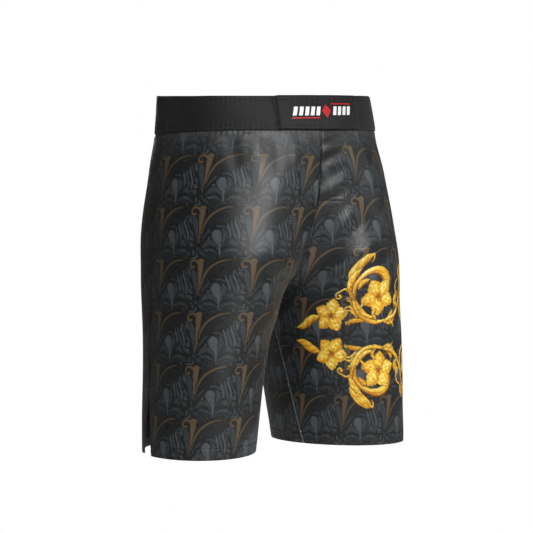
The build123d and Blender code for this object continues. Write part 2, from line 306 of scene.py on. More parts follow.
def ridge(points, start, end, width, height):
    """A soft fold along a line seen from the front; it fades at both ends."""
    a, b = np.array(start, float), np.array(end, float)
    axis = b - a
    place = np.stack([points[..., 0], points[..., 2]], -1) - a
    along = (place @ axis) / (axis @ axis)
    off = np.linalg.norm(place - np.clip(along, 0, 1)[..., None] * axis, axis=-1)
    taper = smooth(-0.05, 0.25, along) * smooth(1.05, 0.6, along)
    return height * taper * np.exp(-(off / width) ** 2)


def fold_lift(points, u, depth):
    """How far the cloth stands off its smooth shape: soft rolls, creases and the gathers under the band."""
    x, y, z = points[..., 0], points[..., 1], points[..., 2]
    below_band = depth - band_bottom(u)
    roll = 0.9 * np.sin(x * 0.031 + z * 0.019 + 0.6) * np.sin(y * 0.027 - z * 0.013)
    roll += 0.5 * np.sin(x * 0.062 - z * 0.035 + y * 0.04 + 2.0)
    lift = roll * smooth(0, 60, below_band)
    front = smooth(20, -25, y)
    for fold in FRONT_FOLDS:
        lift = lift + front * ridge(points, *fold)
    for fold in BACK_FOLDS:
        lift = lift + (1 - front) * ridge(points, *fold)
    turn = np.arctan2(x, -y)
    gather = np.sin(turn * GATHERS + 0.8 * np.sin(turn * 5)) * np.exp(-np.maximum(below_band, 0) / 26)
    lift = lift + GATHER_HEIGHT * gather * smooth(-2, 8, below_band) * (1 + 0.6 * smooth(-40, 40, y))
    slant = 0.45 * x + 5 * np.sin(z * 0.05)
    pucker = np.sin((z - slant + 3) * 2 * math.pi / PUCKER_PITCH)
    pucker = pucker * smooth(-6, 4, x) * smooth(42, 30, x) * front
    pucker = pucker * smooth(0, 10, below_band) * smooth(FACING_BOTTOM + 10, FACING_BOTTOM - 5, depth)
    lift = lift + PUCKER_HEIGHT * pucker
    ends = smooth(0, 6, below_band) * smooth(OUTSEAM + 6, OUTSEAM - 40, depth)
    return lift * ends


def seam_dip(distance, run, deep=0.5, wide=1.4):
    """Groove of a stitched seam, with the small pulls that its stitches make beside it."""
    groove = -deep * np.exp(-(distance / wide) ** 2)
    return groove + 0.16 * np.sin(run * 0.9) * np.exp(-(distance / 5.0) ** 2)


# ---------------------------------------------------------------- painted prints
CURVE_POINTS = 70


def srgb(*values):
    """Linear colour of 0..255 sRGB values."""
    v = np.array(values, float) / 255
    return np.where(v <= 0.04045, v / 12.92, ((v + 0.055) / 1.055) ** 2.4)


def curve_through(points):
    """Smooth curve through control points, as a dense row of points, with a share 0..1 for each."""
    p = np.array(points, float)
    run = run_length(p)
    t = np.linspace(0, run[-1], CURVE_POINTS)
    padded = np.vstack([2 * p[0] - p[1], p, 2 * p[-1] - p[-2]])
    i = np.clip(np.searchsorted(run, t, side="right") - 1, 0, len(run) - 2)
    f = ((t - run[i]) / (run[i + 1] - run[i]))[:, None]
    a, b, c, d = padded[i], padded[i + 1], padded[i + 2], padded[i + 3]
    out = 0.5 * (2 * b + (c - a) * f + (2 * a - 5 * b + 4 * c - d) * f**2 + (3 * b - a - 3 * c + d) * f**3)
    return out, t / run[-1]


def spiral(centre, radius, start_turn, turns):
    """Points of a curl that winds in from its rim to a small eye."""
    part = np.linspace(0, 1, 12)
    angle = 2 * math.pi * (start_turn + turns * part)
    r = radius * (1 - 0.85 * part)
    return list(zip(centre[0] + r * np.cos(angle), centre[1] + r * np.sin(angle)))


class Painting:
    """A colour raster in millimetres that strokes are painted on. It repeats if it is a print tile."""

    def __init__(self, low, size, pitch, base, repeats=False):
        self.low, self.pitch, self.repeats = np.array(low, float), pitch, repeats
        self.shape = (int(round(size[1] / pitch)), int(round(size[0] / pitch)))
        self.rgb = np.tile(np.array(base, float), self.shape + (1,))
        self.cover = np.zeros(self.shape)

    def stroke(self, points, widths, shade, outline=0.0, outline_colour=(0, 0, 0), opacity=1.0):
        """Paints along a curve. widths are its widths from start to end, and shade(across, along, lean)
        gives the colour where across is -1..1 from edge to edge and lean is the edge's direction."""
        curve, along = curve_through(points)
        half = np.interp(along, np.linspace(0, 1, len(widths)), np.array(widths, float) / 2)
        margin = half.max() + outline + 1
        low = np.floor((curve.min(0) - margin - self.low) / self.pitch).astype(int)
        high = np.ceil((curve.max(0) + margin - self.low) / self.pitch).astype(int)
        columns, rows = np.arange(low[0], high[0]), np.arange(low[1], high[1])
        if not self.repeats:
            columns = columns[(columns >= 0) & (columns < self.shape[1])]
            rows = rows[(rows >= 0) & (rows < self.shape[0])]
        if not len(columns) or not len(rows):
            return
        x = self.low[0] + (columns + 0.5) * self.pitch
        y = self.low[1] + (rows + 0.5) * self.pitch
        dx = x[None, :, None] - curve[:, 0]
        dy = y[:, None, None] - curve[:, 1]
        reach = np.sqrt(dx * dx + dy * dy) - half
        nearest = np.argmin(reach, -1)
        off = np.take_along_axis(reach, nearest[..., None], -1)[..., 0]
        tangent = unit(np.gradient(curve, axis=0))
        px = x[None, :] - curve[nearest, 0]
        py = y[:, None] - curve[nearest, 1]
        side = -px * tangent[nearest, 1] + py * tangent[nearest, 0]
        across = np.clip(side / np.maximum(half[nearest], 0.05), -1, 1)
        lean = np.stack([-tangent[nearest, 1], tangent[nearest, 0]], -1) * across[..., None]
        place = np.ix_(rows % self.shape[0], columns % self.shape[1])
        soft = 1.2 * self.pitch
        if outline:
            edge = opacity * smooth(soft, -soft, off - outline)[..., None]
            self.rgb[place] = self.rgb[place] * (1 - edge) + np.array(outline_colour) * edge
        cover = opacity * smooth(soft, -soft, off)
        paint = shade(across, along[nearest], lean)
        self.rgb[place] = self.rgb[place] * (1 - cover[..., None]) + paint * cover[..., None]
        self.cover[place] = np.maximum(self.cover[place], cover)

    def at(self, x, y, values=None):
        """Colour at places, between the raster's points."""
        values = self.rgb if values is None else values
        column = (np.asarray(x) - self.low[0]) / self.pitch - 0.5
        row = (np.asarray(y) - self.low[1]) / self.pitch - 0.5
        if not self.repeats:
            column = np.clip(column, 0, self.shape[1] - 1)
            row = np.clip(row, 0, self.shape[0] - 1)
        i, j = np.floor(row).astype(int), np.floor(column).astype(int)
        a, b = row - i, column - j
        if values.ndim == 3:
            a, b = a[..., None], b[..., None]
        h, w = self.shape
        out = 0
        for di, wi in ((0, 1 - a), (1, a)):
            for dj, wj in ((0, 1 - b), (1, b)):
                out = out + values[(i + di) % h, (j + dj) % w] * wi * wj
        return out


CLOTH_COLOUR = srgb(27, 28, 29)
LINE_COLOUR = srgb(8, 9, 10)
LIGHT_LEAF = srgb(74, 79, 82)
GREY_LEAF = srgb(55, 59, 62)
DIM_LEAF = srgb(41, 43, 46)
BRONZE = srgb(88, 74, 55)
TILE_WIDTH = 66.5
TILE_HEIGHT = 64.2


def flat_shade(colour, edge_dim=0.35, veins=0):
    """Even colour, darker to the edges, with dark veins along it."""
    colour = np.array(colour, float)

    def shade(across, along, lean):
        tone = 1 - edge_dim * across**2
        if veins:
            tone = tone * (1 - 0.45 * (0.5 + 0.5 * np.cos(across * veins * math.pi)) ** 4)
        return colour * tone[..., None]
    return shade


def paint_tile():
    """One repeat of the foliage print. The origin is the centre of the bronze volute."""
    tile = Painting((0, 0), (TILE_WIDTH, TILE_HEIGHT), 0.2, CLOTH_COLOUR, repeats=True)

    def leaf(points, widths, colour, veins=0, dim=0.4):
        tile.stroke(points, widths, flat_shade(colour, dim, veins), outline=0.75, outline_colour=LINE_COLOUR)

    def curl(centre, radius, start, turns, colour, width=1.7):
        leaf(spiral(centre, radius, start, turns), [width, 0.8 * width, 0.4 * width], colour, dim=0.2)

    # Sweeps over the bronze arc, nested one above another.
    for k, colour in enumerate((GREY_LEAF, DIM_LEAF, GREY_LEAF, DIM_LEAF)):
        leaf([(17.5 - k, 6 - 3.2 * k), (23 - k, -3 - 3 * k), (32, -8.5 - 2.6 * k), (43, -11 - 2.4 * k),
              (56, -11 - 2 * k)], [0.3, 2.0, 2.6, 2.2, 0.3], colour)
    # Soft upright strands under the arc.
    for x in (35.5, 38.6, 41.5):
        leaf([(x, 4), (x + 1.2, 11), (x, 19)], [0.3, 2.0, 0.3], DIM_LEAF)
    leaf([(34, -1.0), (42, 0.5), (50, -1.5)], [0.4, 2.6, 0.4], DIM_LEAF)
    for k in range(4):
        curl((14.5 + 6.2 * k, 60.5 + 1.2 * (k % 2)), 2.4, 0.25 * k, 1.2, DIM_LEAF, 1.4)
    # Fans of broad leaves either side of the stem.
    for points, width, colour in (([(33, 56), (25, 52), (15, 55), (9, 59)], 3.6, DIM_LEAF),
                                  ([(39, 56), (47, 52), (57, 53), (63, 57)], 3.6, DIM_LEAF),
                                  ([(33, 52), (25.5, 47.5), (16.5, 48), (9.5, 52)], 5.2, GREY_LEAF),
                                  ([(38.5, 52), (46, 47.5), (54, 47.5), (61, 52)], 5.2, GREY_LEAF),
                                  ([(33.5, 47), (28.5, 40), (20.5, 38), (11, 46)], 8.0, GREY_LEAF),
                                  ([(37.5, 47), (42, 39.5), (49, 36.5), (58, 43)], 8.0, GREY_LEAF)):
        leaf(points, [0.6, 0.8 * width, width, 0.3], colour, 3, 0.3)
    leaf([(15.5, 47.5), (18.5, 46.8), (21.5, 47.6)], [0.4, 1.7, 0.4], LIGHT_LEAF)
    # The bulb and its wrapping petals, under one long sweep.
    leaf([(9.5, 40), (15.5, 30), (24, 21.5), (35, 18), (43.5, 22), (46.5, 31)],
         [0.5, 2.4, 2.6, 2.4, 2.0, 0.4], GREY_LEAF)
    leaf([(36.5, 46), (43, 37), (45, 29), (42.5, 23.5)], [0.8, 4.5, 6.0, 1.4], DIM_LEAF, 2)
    leaf([(36, 46), (38.5, 37), (41, 28.5), (38.5, 22.5)], [0.8, 5.5, 8.0, 2.0], GREY_LEAF, 3)
    leaf([(35.5, 52), (35.2, 45), (34.2, 39), (32.2, 33.5), (30.8, 29)],
         [2.2, 2.6, 4.0, 9.5, 13.0], LIGHT_LEAF, dim=0.3)
    for lean in (-2.0, 0.4, 2.8):
        tile.stroke([(34.4, 40), (32.2 + lean, 35), (31.2 + lean, 29)], [0.2, 0.5, 0.2],
                    flat_shade(0.5 * GREY_LEAF), opacity=0.7)
    leaf([(20.8, 34.5), (21.2, 32), (21.4, 29.5)], [0.6, 3.6, 0.6], LIGHT_LEAF)
    for rise in (0, 3.4, 6.6):
        leaf([(14 + rise, 38 - rise), (21 + 0.5 * rise, 29 - rise), (30, 19.5 - 0.9 * rise)], [0.2, 1.3, 0.2],
             DIM_LEAF)
    # Flames and wavy strands to the right, wrapping to the volute of the next repeat.
    for points, width, colour in (([(42.5, 13), (45.5, 21), (47.5, 27), (48.5, 34)], 2.6, LIGHT_LEAF),
                                  ([(48, 11), (49.5, 20), (52.5, 27), (56, 36)], 4.6, GREY_LEAF),
                                  ([(52.8, 7), (53, 14), (56, 21), (58.5, 29), (57.5, 38)], 3.0, LIGHT_LEAF),
                                  ([(56.5, 3), (55, 8), (58, 15), (60.5, 22), (61.5, 30)], 2.4, GREY_LEAF),
                                  ([(61, 22), (65, 28), (63.5, 36)], 4.4, GREY_LEAF)):
        leaf(points, [0.4, width, 0.8 * width, width, 0.4], colour)
    for x, y, radius, start, colour in ((60.5, 5.5, 3.4, 0.9, LIGHT_LEAF), (61.5, 12.5, 2.8, 0.6, LIGHT_LEAF),
                                        (64, 32, 2.8, 0.1, LIGHT_LEAF), (59.5, 38.5, 2.6, 0.4, GREY_LEAF),
                                        (63.5, 41, 2.8, 0.6, LIGHT_LEAF)):
        curl((x, y), radius, start, 1.15, colour)
    # Tall leaf between the strands and the bronze stem.
    leaf([(0.5, 5.5), (2.4, 14), (4.6, 26), (6.6, 40)], [3.0, 9.0, 6.8, 3.4, 1.0], GREY_LEAF, 2)
    # Hook and curls above the volute.
    leaf([(0.4, -17.5), (1.0, -13.5), (0.0, -10)], [1.0, 2.0, 0.6], LIGHT_LEAF)
    leaf([(5.5, -12.5), (6.2, -9.5), (2.5, -7.6), (-5, -7.8)], [1.4, 1.8, 1.5, 0.4], LIGHT_LEAF)
    leaf([(8, -15.5), (13, -13), (18, -9)], [0.5, 4.4, 0.5], GREY_LEAF, 1)
    for centre, radius, start in (((-6, -12), 2.8, 0.5), ((7, -19), 2.6, 0.0), ((-11, -9), 2.4, 0.25)):
        curl(centre, radius, start, 1.3, GREY_LEAF, 1.5)
    # Bronze: the arc, the trumpet-shaped head and the volute, joined under one outline.
    arc = [(10.0, 34), (11.6, 26.5), (14.4, 17.2), (19.8, 7.8), (27, 1.6), (35.8, -3), (45, -5.2), (56, -5)]
    trumpet = [(11.6, -2.6), (11.2, 1), (10.7, 7), (10, 14.7), (9.4, 22), (8.5, 32), (7.8, 43)]
    lip = [(7.6, -3.8), (11.2, -4.9), (14.2, -4.3)]
    volute = [(8.6, -1.0), (6.4, -3.4), (3.0, -4.7), (-1.2, -4.3), (-3.6, -1.6), (-3.4, 1.6), (-0.8, 3.5),
              (1.4, 2.8)]
    bronze_parts = [(arc, [0.4, 1.7, 2.6, 2.8, 2.6, 2.2, 1.5, 0.3]),
                    (trumpet, [7.4, 7.8, 5.4, 3.2, 2.0, 1.3, 0.4]),
                    (lip, [3.2, 4.8, 3.8]), (volute, [3.4, 3.2, 2.7, 2.5, 2.4, 2.3, 2.6, 3.0])]
    for points, widths in bronze_parts:
        tile.stroke(points, widths, flat_shade(LINE_COLOUR), outline=0.8, outline_colour=LINE_COLOUR)
    for points, widths in bronze_parts:
        tile.stroke(points, widths, flat_shade(BRONZE, 0.3))
    return tile


GOLD_STOPS = [(0.0, (58, 28, 4)), (0.22, (136, 78, 8)), (0.45, (204, 138, 22)), (0.68, (236, 188, 54)),
              (0.86, (250, 228, 122)), (1.0, (255, 248, 196))]
GOLD_LIGHT = (-0.55, -0.83)


def gold(value):
    """Gold ramp from deep brown to pale yellow."""
    stops = np.array([s for s, _ in GOLD_STOPS])
    colours = np.array([srgb(*c) for _, c in GOLD_STOPS])
    return np.stack([np.interp(value, stops, colours[:, k]) for k in range(3)], -1)


def gold_shade(level=0.5, relief=0.34, veins=0, vein_depth=0.22, tip=0.0, root=0.0):
    """Gold relief lit from the upper left, with fine engraved lines along it."""
    def shade(across, along, lean):
        value = level + relief * (lean @ np.array(GOLD_LIGHT)) - 0.28 * across**4
        if veins:
            value = value - vein_depth * (0.5 + 0.5 * np.cos(across * veins * math.pi)) ** 3
        value = value + tip * smooth(0.6, 1.0, along) + root * smooth(0.35, 0.0, along)
        value = value + 0.1 * np.sin(along * 23 + 3 * across) * (1 - across**2)
        return gold(np.clip(value, 0, 1))
    return shade


GOLD_OUTLINE = dict(outline=0.5, outline_colour=srgb(30, 17, 4))
MIRROR_DEPTH = 316.0
MIRROR_SQUASH = 0.9
MIRROR_SHEAR = 0.23
MIRROR_SHEAR_START = 326.0
GOLD_GRAIN = 0.075


def paint_scroll(art, turned):
    """Half of the gold ornament: turned is 1 for the upper one, -1 for the lower, which is its reflection."""
    def down(points):
        if turned == 1:
            return points
        depths = [MIRROR_DEPTH + MIRROR_SQUASH * (MIRROR_DEPTH - y) for _, y in points]
        return [(x + MIRROR_SHEAR * max(0, y - MIRROR_SHEAR_START), y) for (x, _), y in zip(points, depths)]

    def stem(points, widths, **look):
        art.stroke(down(points), widths, gold_shade(**{"level": 0.62, "relief": 0.5, **look}), **GOLD_OUTLINE)

    def leaf(points, width, **look):
        stem(points, [0.5, 0.7 * width, width, 0.85 * width, 0.4],
             **{"level": 0.5, "relief": 0.34, "veins": 3, **look})

    def flower(centre, radius, turn):
        """Five broad, saw-edged petals with engraved veins under one outline, round a dark heart."""
        middle = np.array(down([centre])[0], float)
        lobes = []
        for k in (0, 2, 4, 1, 3):
            turn_k = turn + 2 * math.pi * k / 5
            for lean, reach, width in ((-0.44, 0.84, 0.36), (0.44, 0.84, 0.36), (-0.22, 0.95, 0.44),
                                       (0.22, 0.95, 0.44), (0.0, 1.06, 0.6)):
                angle = turn_k + lean
                way = np.array([math.cos(angle), math.sin(angle) * turned])
                points = [middle + part * radius * way for part in (0.06, 0.5, reach)]
                widths = radius * np.array([0.1, 0.8 * width, width, 0.7 * width, 0.02])
                lobes.append((points, widths, 0.78 + 0.06 * math.cos(turn_k + 0.8) - 0.08 * lean))
        for points, widths, _ in lobes:
            art.stroke(points, widths, gold_shade(level=0.2, relief=0), **GOLD_OUTLINE)
        for points, widths, level in lobes:
            art.stroke(points, widths,
                       gold_shade(level=level, relief=0.14, veins=3, vein_depth=0.16, tip=-0.2, root=-0.5))
        for k in range(8):
            way = np.array([math.cos(math.pi * k / 4), math.sin(math.pi * k / 4)])
            art.stroke([middle, middle + 0.15 * radius * way], [0.8, 1.2], gold_shade(level=0.3, relief=0.1))

    leaf([(-262, 307), (-250, 304), (-240, 296), (-227, 291)], 12, level=0.62, veins=4)
    flower((-212, 290), 21.5, -0.2)
    stem([(-196, 282), (-189, 279), (-184, 283), (-176, 292)], [1, 3, 4, 1])
    stem([(-197, 289), (-190, 284), (-183, 287), (-177, 294)], [0.8, 2.4, 3, 1])
    stem([(-178, 285), (-185, 275), (-188, 262), (-196, 256), (-204, 260)], [3, 5.5, 5, 3, 2])
    stem(spiral((-203, 265), 5.4, 0.75, -0.95), [2.2, 2.0, 3.0])
    stem(spiral((-191, 270), 3.2, 0.6, 0.9), [1.4, 1.2, 2.0])
    stem([(-187, 252), (-191, 238), (-185, 225), (-176, 216), (-168, 211)], [3, 9, 14, 15, 12, 1],
         level=0.7, relief=0.34, veins=4, tip=-0.15)
    stem([(-173, 216), (-168, 211), (-166, 217), (-168, 222)], [2, 3.2, 2.2, 0.6])
    stem([(-134, 296), (-152, 299), (-168, 294), (-180, 280), (-185, 262), (-182, 247), (-172, 236),
          (-158, 232), (-146, 236), (-138, 246), (-137, 257)],
         [3, 5.5, 6.5, 7, 6.5, 5.5, 6, 8.5, 12, 14, 11], veins=3, vein_depth=0.2)
    leaf([(-183, 268), (-176, 280), (-166, 290), (-152, 294)], 6, level=0.7)
    leaf([(-187, 264), (-191, 252), (-188, 240), (-180, 230)], 9, level=0.7)
    leaf([(-181, 272), (-188, 264), (-190, 252)], 5, level=0.5)
    leaf([(-140, 298), (-128, 300), (-120, 294), (-117, 284)], 7, level=0.64)
    leaf([(-180, 256), (-176, 248), (-168, 243)], 7, level=0.6)
    stem([(-176, 283), (-171, 275), (-173, 268), (-168, 266)], [1, 3.4, 2.6, 1.6])
    leaf([(-168, 298), (-178, 297), (-190, 300)], 7, level=0.55)
    stem(spiral((-190, 301), 3.0, 0.0, -0.8), [1.4, 1.6, 1.6])
    flower((-150, 265), 24, 0.3)
    leaf([(-150, 297), (-156, 288), (-152, 281)], 5, level=0.6)
    leaf([(-134, 296), (-126, 288), (-124, 282)], 6, level=0.6)
    stem([(-134, 296), (-120, 291), (-110, 280), (-104, 264), (-103, 248)], [5, 6, 5.5, 5, 4])
    leaf([(-110, 281), (-118, 272), (-112, 258)], 10, level=0.6)
    stem([(-108, 268), (-117, 258), (-118, 249), (-113, 243)], [1, 3, 2.4, 2.4])
    stem([(-128, 296), (-122, 301), (-118, 306)], [3, 3, 0.6])
    flower((-80, 272), 20, 1.1)
    stem([(-103, 250), (-98, 236), (-86, 229), (-74, 234), (-70, 246)], [4, 6, 10, 10, 3], veins=2)
    leaf([(-104, 246), (-108, 234), (-102, 222)], 9, level=0.58)
    stem([(-104, 262), (-98, 288), (-80, 298), (-60, 292), (-50, 280)], [3, 5, 5, 4, 2])
    stem(spiral((-54, 274), 6.5, 0.0, -1.1), [2, 2, 3])
    leaf([(-66, 296), (-52, 300), (-38, 306)], 9, level=0.6)


def paint_ornament():
    """The gold scroll and flowers on the wearer's left leg: one half, and the same turned over below.

    Across is measured from the left side seam, negative towards the centre front; down is the depth.
    """
    art = Painting((-285, 180), (285, 275), 0.25, CLOTH_COLOUR)
    for turned in (1, -1):
        paint_scroll(art, turned)
    grain = np.random.default_rng(7).standard_normal(art.shape)
    for axis in (0, 1):
        grain = grain + np.roll(grain, 1, axis) + np.roll(grain, 2, axis)
    art.rgb *= np.clip(1 + GOLD_GRAIN * grain[..., None], 0.5, 1.6)
    return art


# ---------------------------------------------------------------- meshes
# Outer and inner face of each layer, as distances out from the main cloth's outer face.
PANEL_FACES = (0.0, -1.0)
HEM_FACES = (-1.15, -1.95)
SEAM_FACES = (-1.15, -2.0)
PANEL_HEIGHT = 405.0
PANEL_WIDTH = 240.0
BAND_HEIGHT = 50.0
BAND_SEAM_TOP = 6.0
BAND_SEAM_BOTTOM = 5.0
RIB_PITCH = 4.2
EYELET_HOLE = 4.3
# A sheet's inner face has one vertex for each so many of its outer face.
COARSE_STEP = 4


def new_object(name, vertices, faces, uv=None, colour=None):
    """Mesh object from millimetre vertices, smooth shaded, with its cloth UV (metres) and print colour."""
    mesh = bpy.data.meshes.new(name)
    mesh.from_pydata((np.asarray(vertices) * MM).tolist(), [], faces)
    mesh.update()
    mesh.polygons.foreach_set("use_smooth", [True] * len(mesh.polygons))
    loops = np.zeros(len(mesh.loops), np.int32)
    mesh.loops.foreach_get("vertex_index", loops)
    if uv is not None:
        layer = mesh.uv_layers.new(name="cloth")
        layer.data.foreach_set("uv", (np.asarray(uv)[loops] * MM).ravel())
    if colour is not None:
        attribute = mesh.color_attributes.new("print", "FLOAT_COLOR", "POINT")
        rgba = np.ones((len(vertices), 4))
        rgba[:, :3] = colour
        attribute.data.foreach_set("color", rgba.ravel())
    obj = bpy.data.objects.new(name, mesh)
    bpy.context.collection.objects.link(obj)
    return obj


class Cloth:
    """A grid of places on the garment and what its cloth does there."""

    def __init__(self, side, share, depth, folded=True):
        self.side = side
        self.share, self.depth = np.broadcast_arrays(np.asarray(share, float), np.asarray(depth, float))
        self.base = surface(side, self.share, self.depth)
        self.normal = normals(side, self.share, self.depth)
        share, hand, _ = settle(side, self.share, self.depth)
        self.u = np.where(hand > 0, share, 2 - share)
        self.lift = fold_lift(self.base, self.u, self.depth) if folded else 0.0
        taper = 1 - 0.12 * np.clip((self.depth - 250) / 211, 0, 1)
        self.across = (run_at(share, self.depth) - run_at(SIDE_SHARE, self.depth)) * hand / taper

    def at(self, distance):
        return self.base + self.normal * np.asarray(self.lift + distance)[..., None]

    def uv(self):
        return np.stack([self.across, self.depth], -1)


def grid_faces(rows, columns, start=0, flip=False, keep=None):
    index = start + np.arange(rows * columns).reshape(rows, columns)
    quads = np.stack([index[:-1, :-1], index[1:, :-1], index[1:, 1:], index[:-1, 1:]], -1)
    quads = quads[keep] if keep is not None else quads.reshape(-1, 4)
    return (quads[:, ::-1] if flip else quads).tolist()


def border(rows, columns):
    """Grid indices once round the border."""
    index = np.arange(rows * columns).reshape(rows, columns)
    return [*index[0, :-1], *index[:-1, -1], *index[-1, :0:-1], *index[:0:-1, 0]]


def closed_sheet(name, cloth, outer, inner, step=COARSE_STEP, colour=None):
    """Closed cloth: a fine outer face, an inner face step times coarser, and the rim between them."""
    rows, columns = cloth.share.shape
    inner_rows, inner_columns = (rows - 1) // step + 1, (columns - 1) // step + 1
    outside = cloth.at(outer).reshape(-1, 3)
    inside = cloth.at(inner)[::step, ::step].reshape(-1, 3)
    start = rows * columns
    away = cloth.side > 0
    faces = grid_faces(rows, columns, flip=not away)
    faces += grid_faces(inner_rows, inner_columns, start, flip=away)
    fine, coarse = border(rows, columns), [start + i for i in border(inner_rows, inner_columns)]
    for j, near in enumerate(coarse):
        following = coarse[(j + 1) % len(coarse)]
        chain = [fine[(j * step + k) % len(fine)] for k in range(step + 1)]
        fan = [(a, b, near) for a, b in zip(chain, chain[1:])] + [(chain[-1], following, near)]
        faces += [f if away else f[::-1] for f in fan]
    uv = np.concatenate([cloth.uv().reshape(-1, 2), cloth.uv()[::step, ::step].reshape(-1, 2)])
    colours = None
    if colour is not None:
        colours = np.concatenate([colour.reshape(-1, 3), np.tile(LINE_COLOUR, (len(inside), 1))])
    return new_object(name, np.concatenate([outside, inside]), faces, uv, colours)


def pierced_sheet(name, cloth, outer, inner, centre, radius):
    """Closed cloth with a round hole about a centre point (mm), as round an eyelet."""
    rows, columns = cloth.share.shape
    outside = cloth.at(outer)
    middle = (outside[:-1, :-1] + outside[1:, 1:]) / 2
    keep = np.linalg.norm(middle - np.array(centre), axis=-1) > radius
    front = grid_faces(rows, columns, 0, cloth.side < 0, keep)
    back = grid_faces(rows, columns, rows * columns, cloth.side > 0, keep)
    edges = [edge for face in front for edge in zip(face, face[1:] + face[:1])]
    known = set(edges)
    shift = rows * columns
    rim = [(b, a, a + shift, b + shift) for a, b in edges if (b, a) not in known]
    points = np.concatenate([outside.reshape(-1, 3), cloth.at(inner).reshape(-1, 3)])
    uv = np.concatenate([cloth.uv().reshape(-1, 2)] * 2)
    return new_object(name, points, front + back + rim, uv)


def spaced(low, high, pitch):
    """Even values from low to high about pitch apart, with a whole number of coarse steps between them."""
    count = max(1, int(round((high - low) / pitch / COARSE_STEP))) * COARSE_STEP
    return np.linspace(low, high, count + 1)


def inner_edge(count):
    """(share, depth) down the centre seam, under the crotch and along the inner-thigh seam."""
    depths = np.concatenate([np.linspace(float(band_bottom(0)) - TUCK, 200, 80),
                             np.linspace(200, CROTCH_DEPTH, 500)[1:],
                             np.linspace(CROTCH_DEPTH, OUTSEAM, 200)[1:]])
    shares = gusset_share(depths) + SEAM_GAP * share_per_mm(depths)
    run = run_length(surface(1, shares, depths))
    picked = np.interp(np.linspace(0, run[-1], count), run, depths)
    return gusset_share(picked) + SEAM_GAP * share_per_mm(picked), picked


def panel_grid(side, back, rows, columns):
    """Shares and depths over a front or back panel, from the waistband to the hem."""
    inner_share, inner_depth = inner_edge(rows)
    side_top = band_bottom_at_side(side) - TUCK
    row = np.arange(rows) / (rows - 1)
    side_depth = side_top + (OUTSEAM - side_top) * row
    seam = 1 - side_seam(side_depth) if back else side_seam(side_depth)
    side_share = seam - (SEAM_GAP + slit_opening(side_depth)) * share_per_mm(side_depth)
    part = np.linspace(0, 1, columns)[None, :]
    share = inner_share[:, None] + (side_share - inner_share)[:, None] * part
    depth = inner_depth[:, None] + (side_depth - inner_depth)[:, None] * part
    real = 1 - share if back else share
    straight = inner_depth[0] + (side_top - inner_depth[0]) * part
    follow = np.maximum(0, 1 - row / 0.18)[:, None]
    depth = depth + follow * (band_bottom(real if side > 0 else 2 - real) - TUCK - straight)
    return real, np.minimum(depth, OUTSEAM)


def panel(name, side, back, pitch, paint):
    """Main panel, with its seams pressed in and its hem stitched."""
    rows, columns = len(spaced(0, PANEL_HEIGHT, pitch)), len(spaced(0, PANEL_WIDTH, pitch))
    share, depth = panel_grid(side, back, rows, columns)
    cloth = Cloth(side, share, depth)
    to_side = np.abs(run_at(share, depth) - run_at(side_seam(depth), depth)) - slit_opening(depth)
    inner_share = gusset_share(depth)
    edge = 1 - inner_share if back else inner_share
    to_inner = np.abs(run_at(share, depth) - run_at(edge, depth))
    to_hem = np.abs(OUTSEAM - HEM_FOLD - depth)
    below_band = np.abs(depth - band_bottom(cloth.u) - 0.5)
    run = cloth.across
    dip = seam_dip(to_hem, run, 0.45, 1.3) + seam_dip(below_band, run, 0.5, 2.0)
    dip = dip + seam_dip(to_side, depth, 0.15, 1.6) + seam_dip(to_inner, depth, 0.5, 1.6)
    edges = 0.1 * np.exp(-(to_side / 0.8) ** 2) + 0.7 * np.exp(-(to_inner / 1.2) ** 2)
    cloth.lift = cloth.lift + dip - edges
    return closed_sheet(name, cloth, *PANEL_FACES, colour=paint(cloth))


def thigh_panel(name, side, paint):
    """Inner-thigh wedge."""
    depth = spaced(GUSSET_TOP, OUTSEAM, 1.4)
    part = np.linspace(-1, 1, 49)[None, :]
    share = part * (gusset_share(depth) - 0.15 * share_per_mm(depth))[:, None]
    cloth = Cloth(side, share, np.repeat(depth[:, None], part.size, 1))
    width = gusset_share(cloth.depth) / share_per_mm(cloth.depth)
    to_edge = width * (1 - np.abs(part))
    cloth.lift = cloth.lift + seam_dip(to_edge, cloth.depth, 0.5, 1.6)
    cloth.lift = cloth.lift + seam_dip(OUTSEAM - HEM_FOLD - cloth.depth, cloth.across, 0.45, 1.3)
    return closed_sheet(name, cloth, *PANEL_FACES, colour=paint(cloth))


def hem_strip(name, side, share_low, share_high, paint):
    """Turned-in part of the hem, inside the leg."""
    depth = spaced(OUTSEAM - HEM_FOLD, OUTSEAM - 0.4, 1.8)[:, None]
    share = np.linspace(share_low, share_high, 117)[None, :]
    cloth = Cloth(side, np.repeat(share, depth.size, 0), np.repeat(depth, share.size, 1))
    return closed_sheet(name, cloth, *HEM_FACES, step=1, colour=paint(cloth) * 0.6)


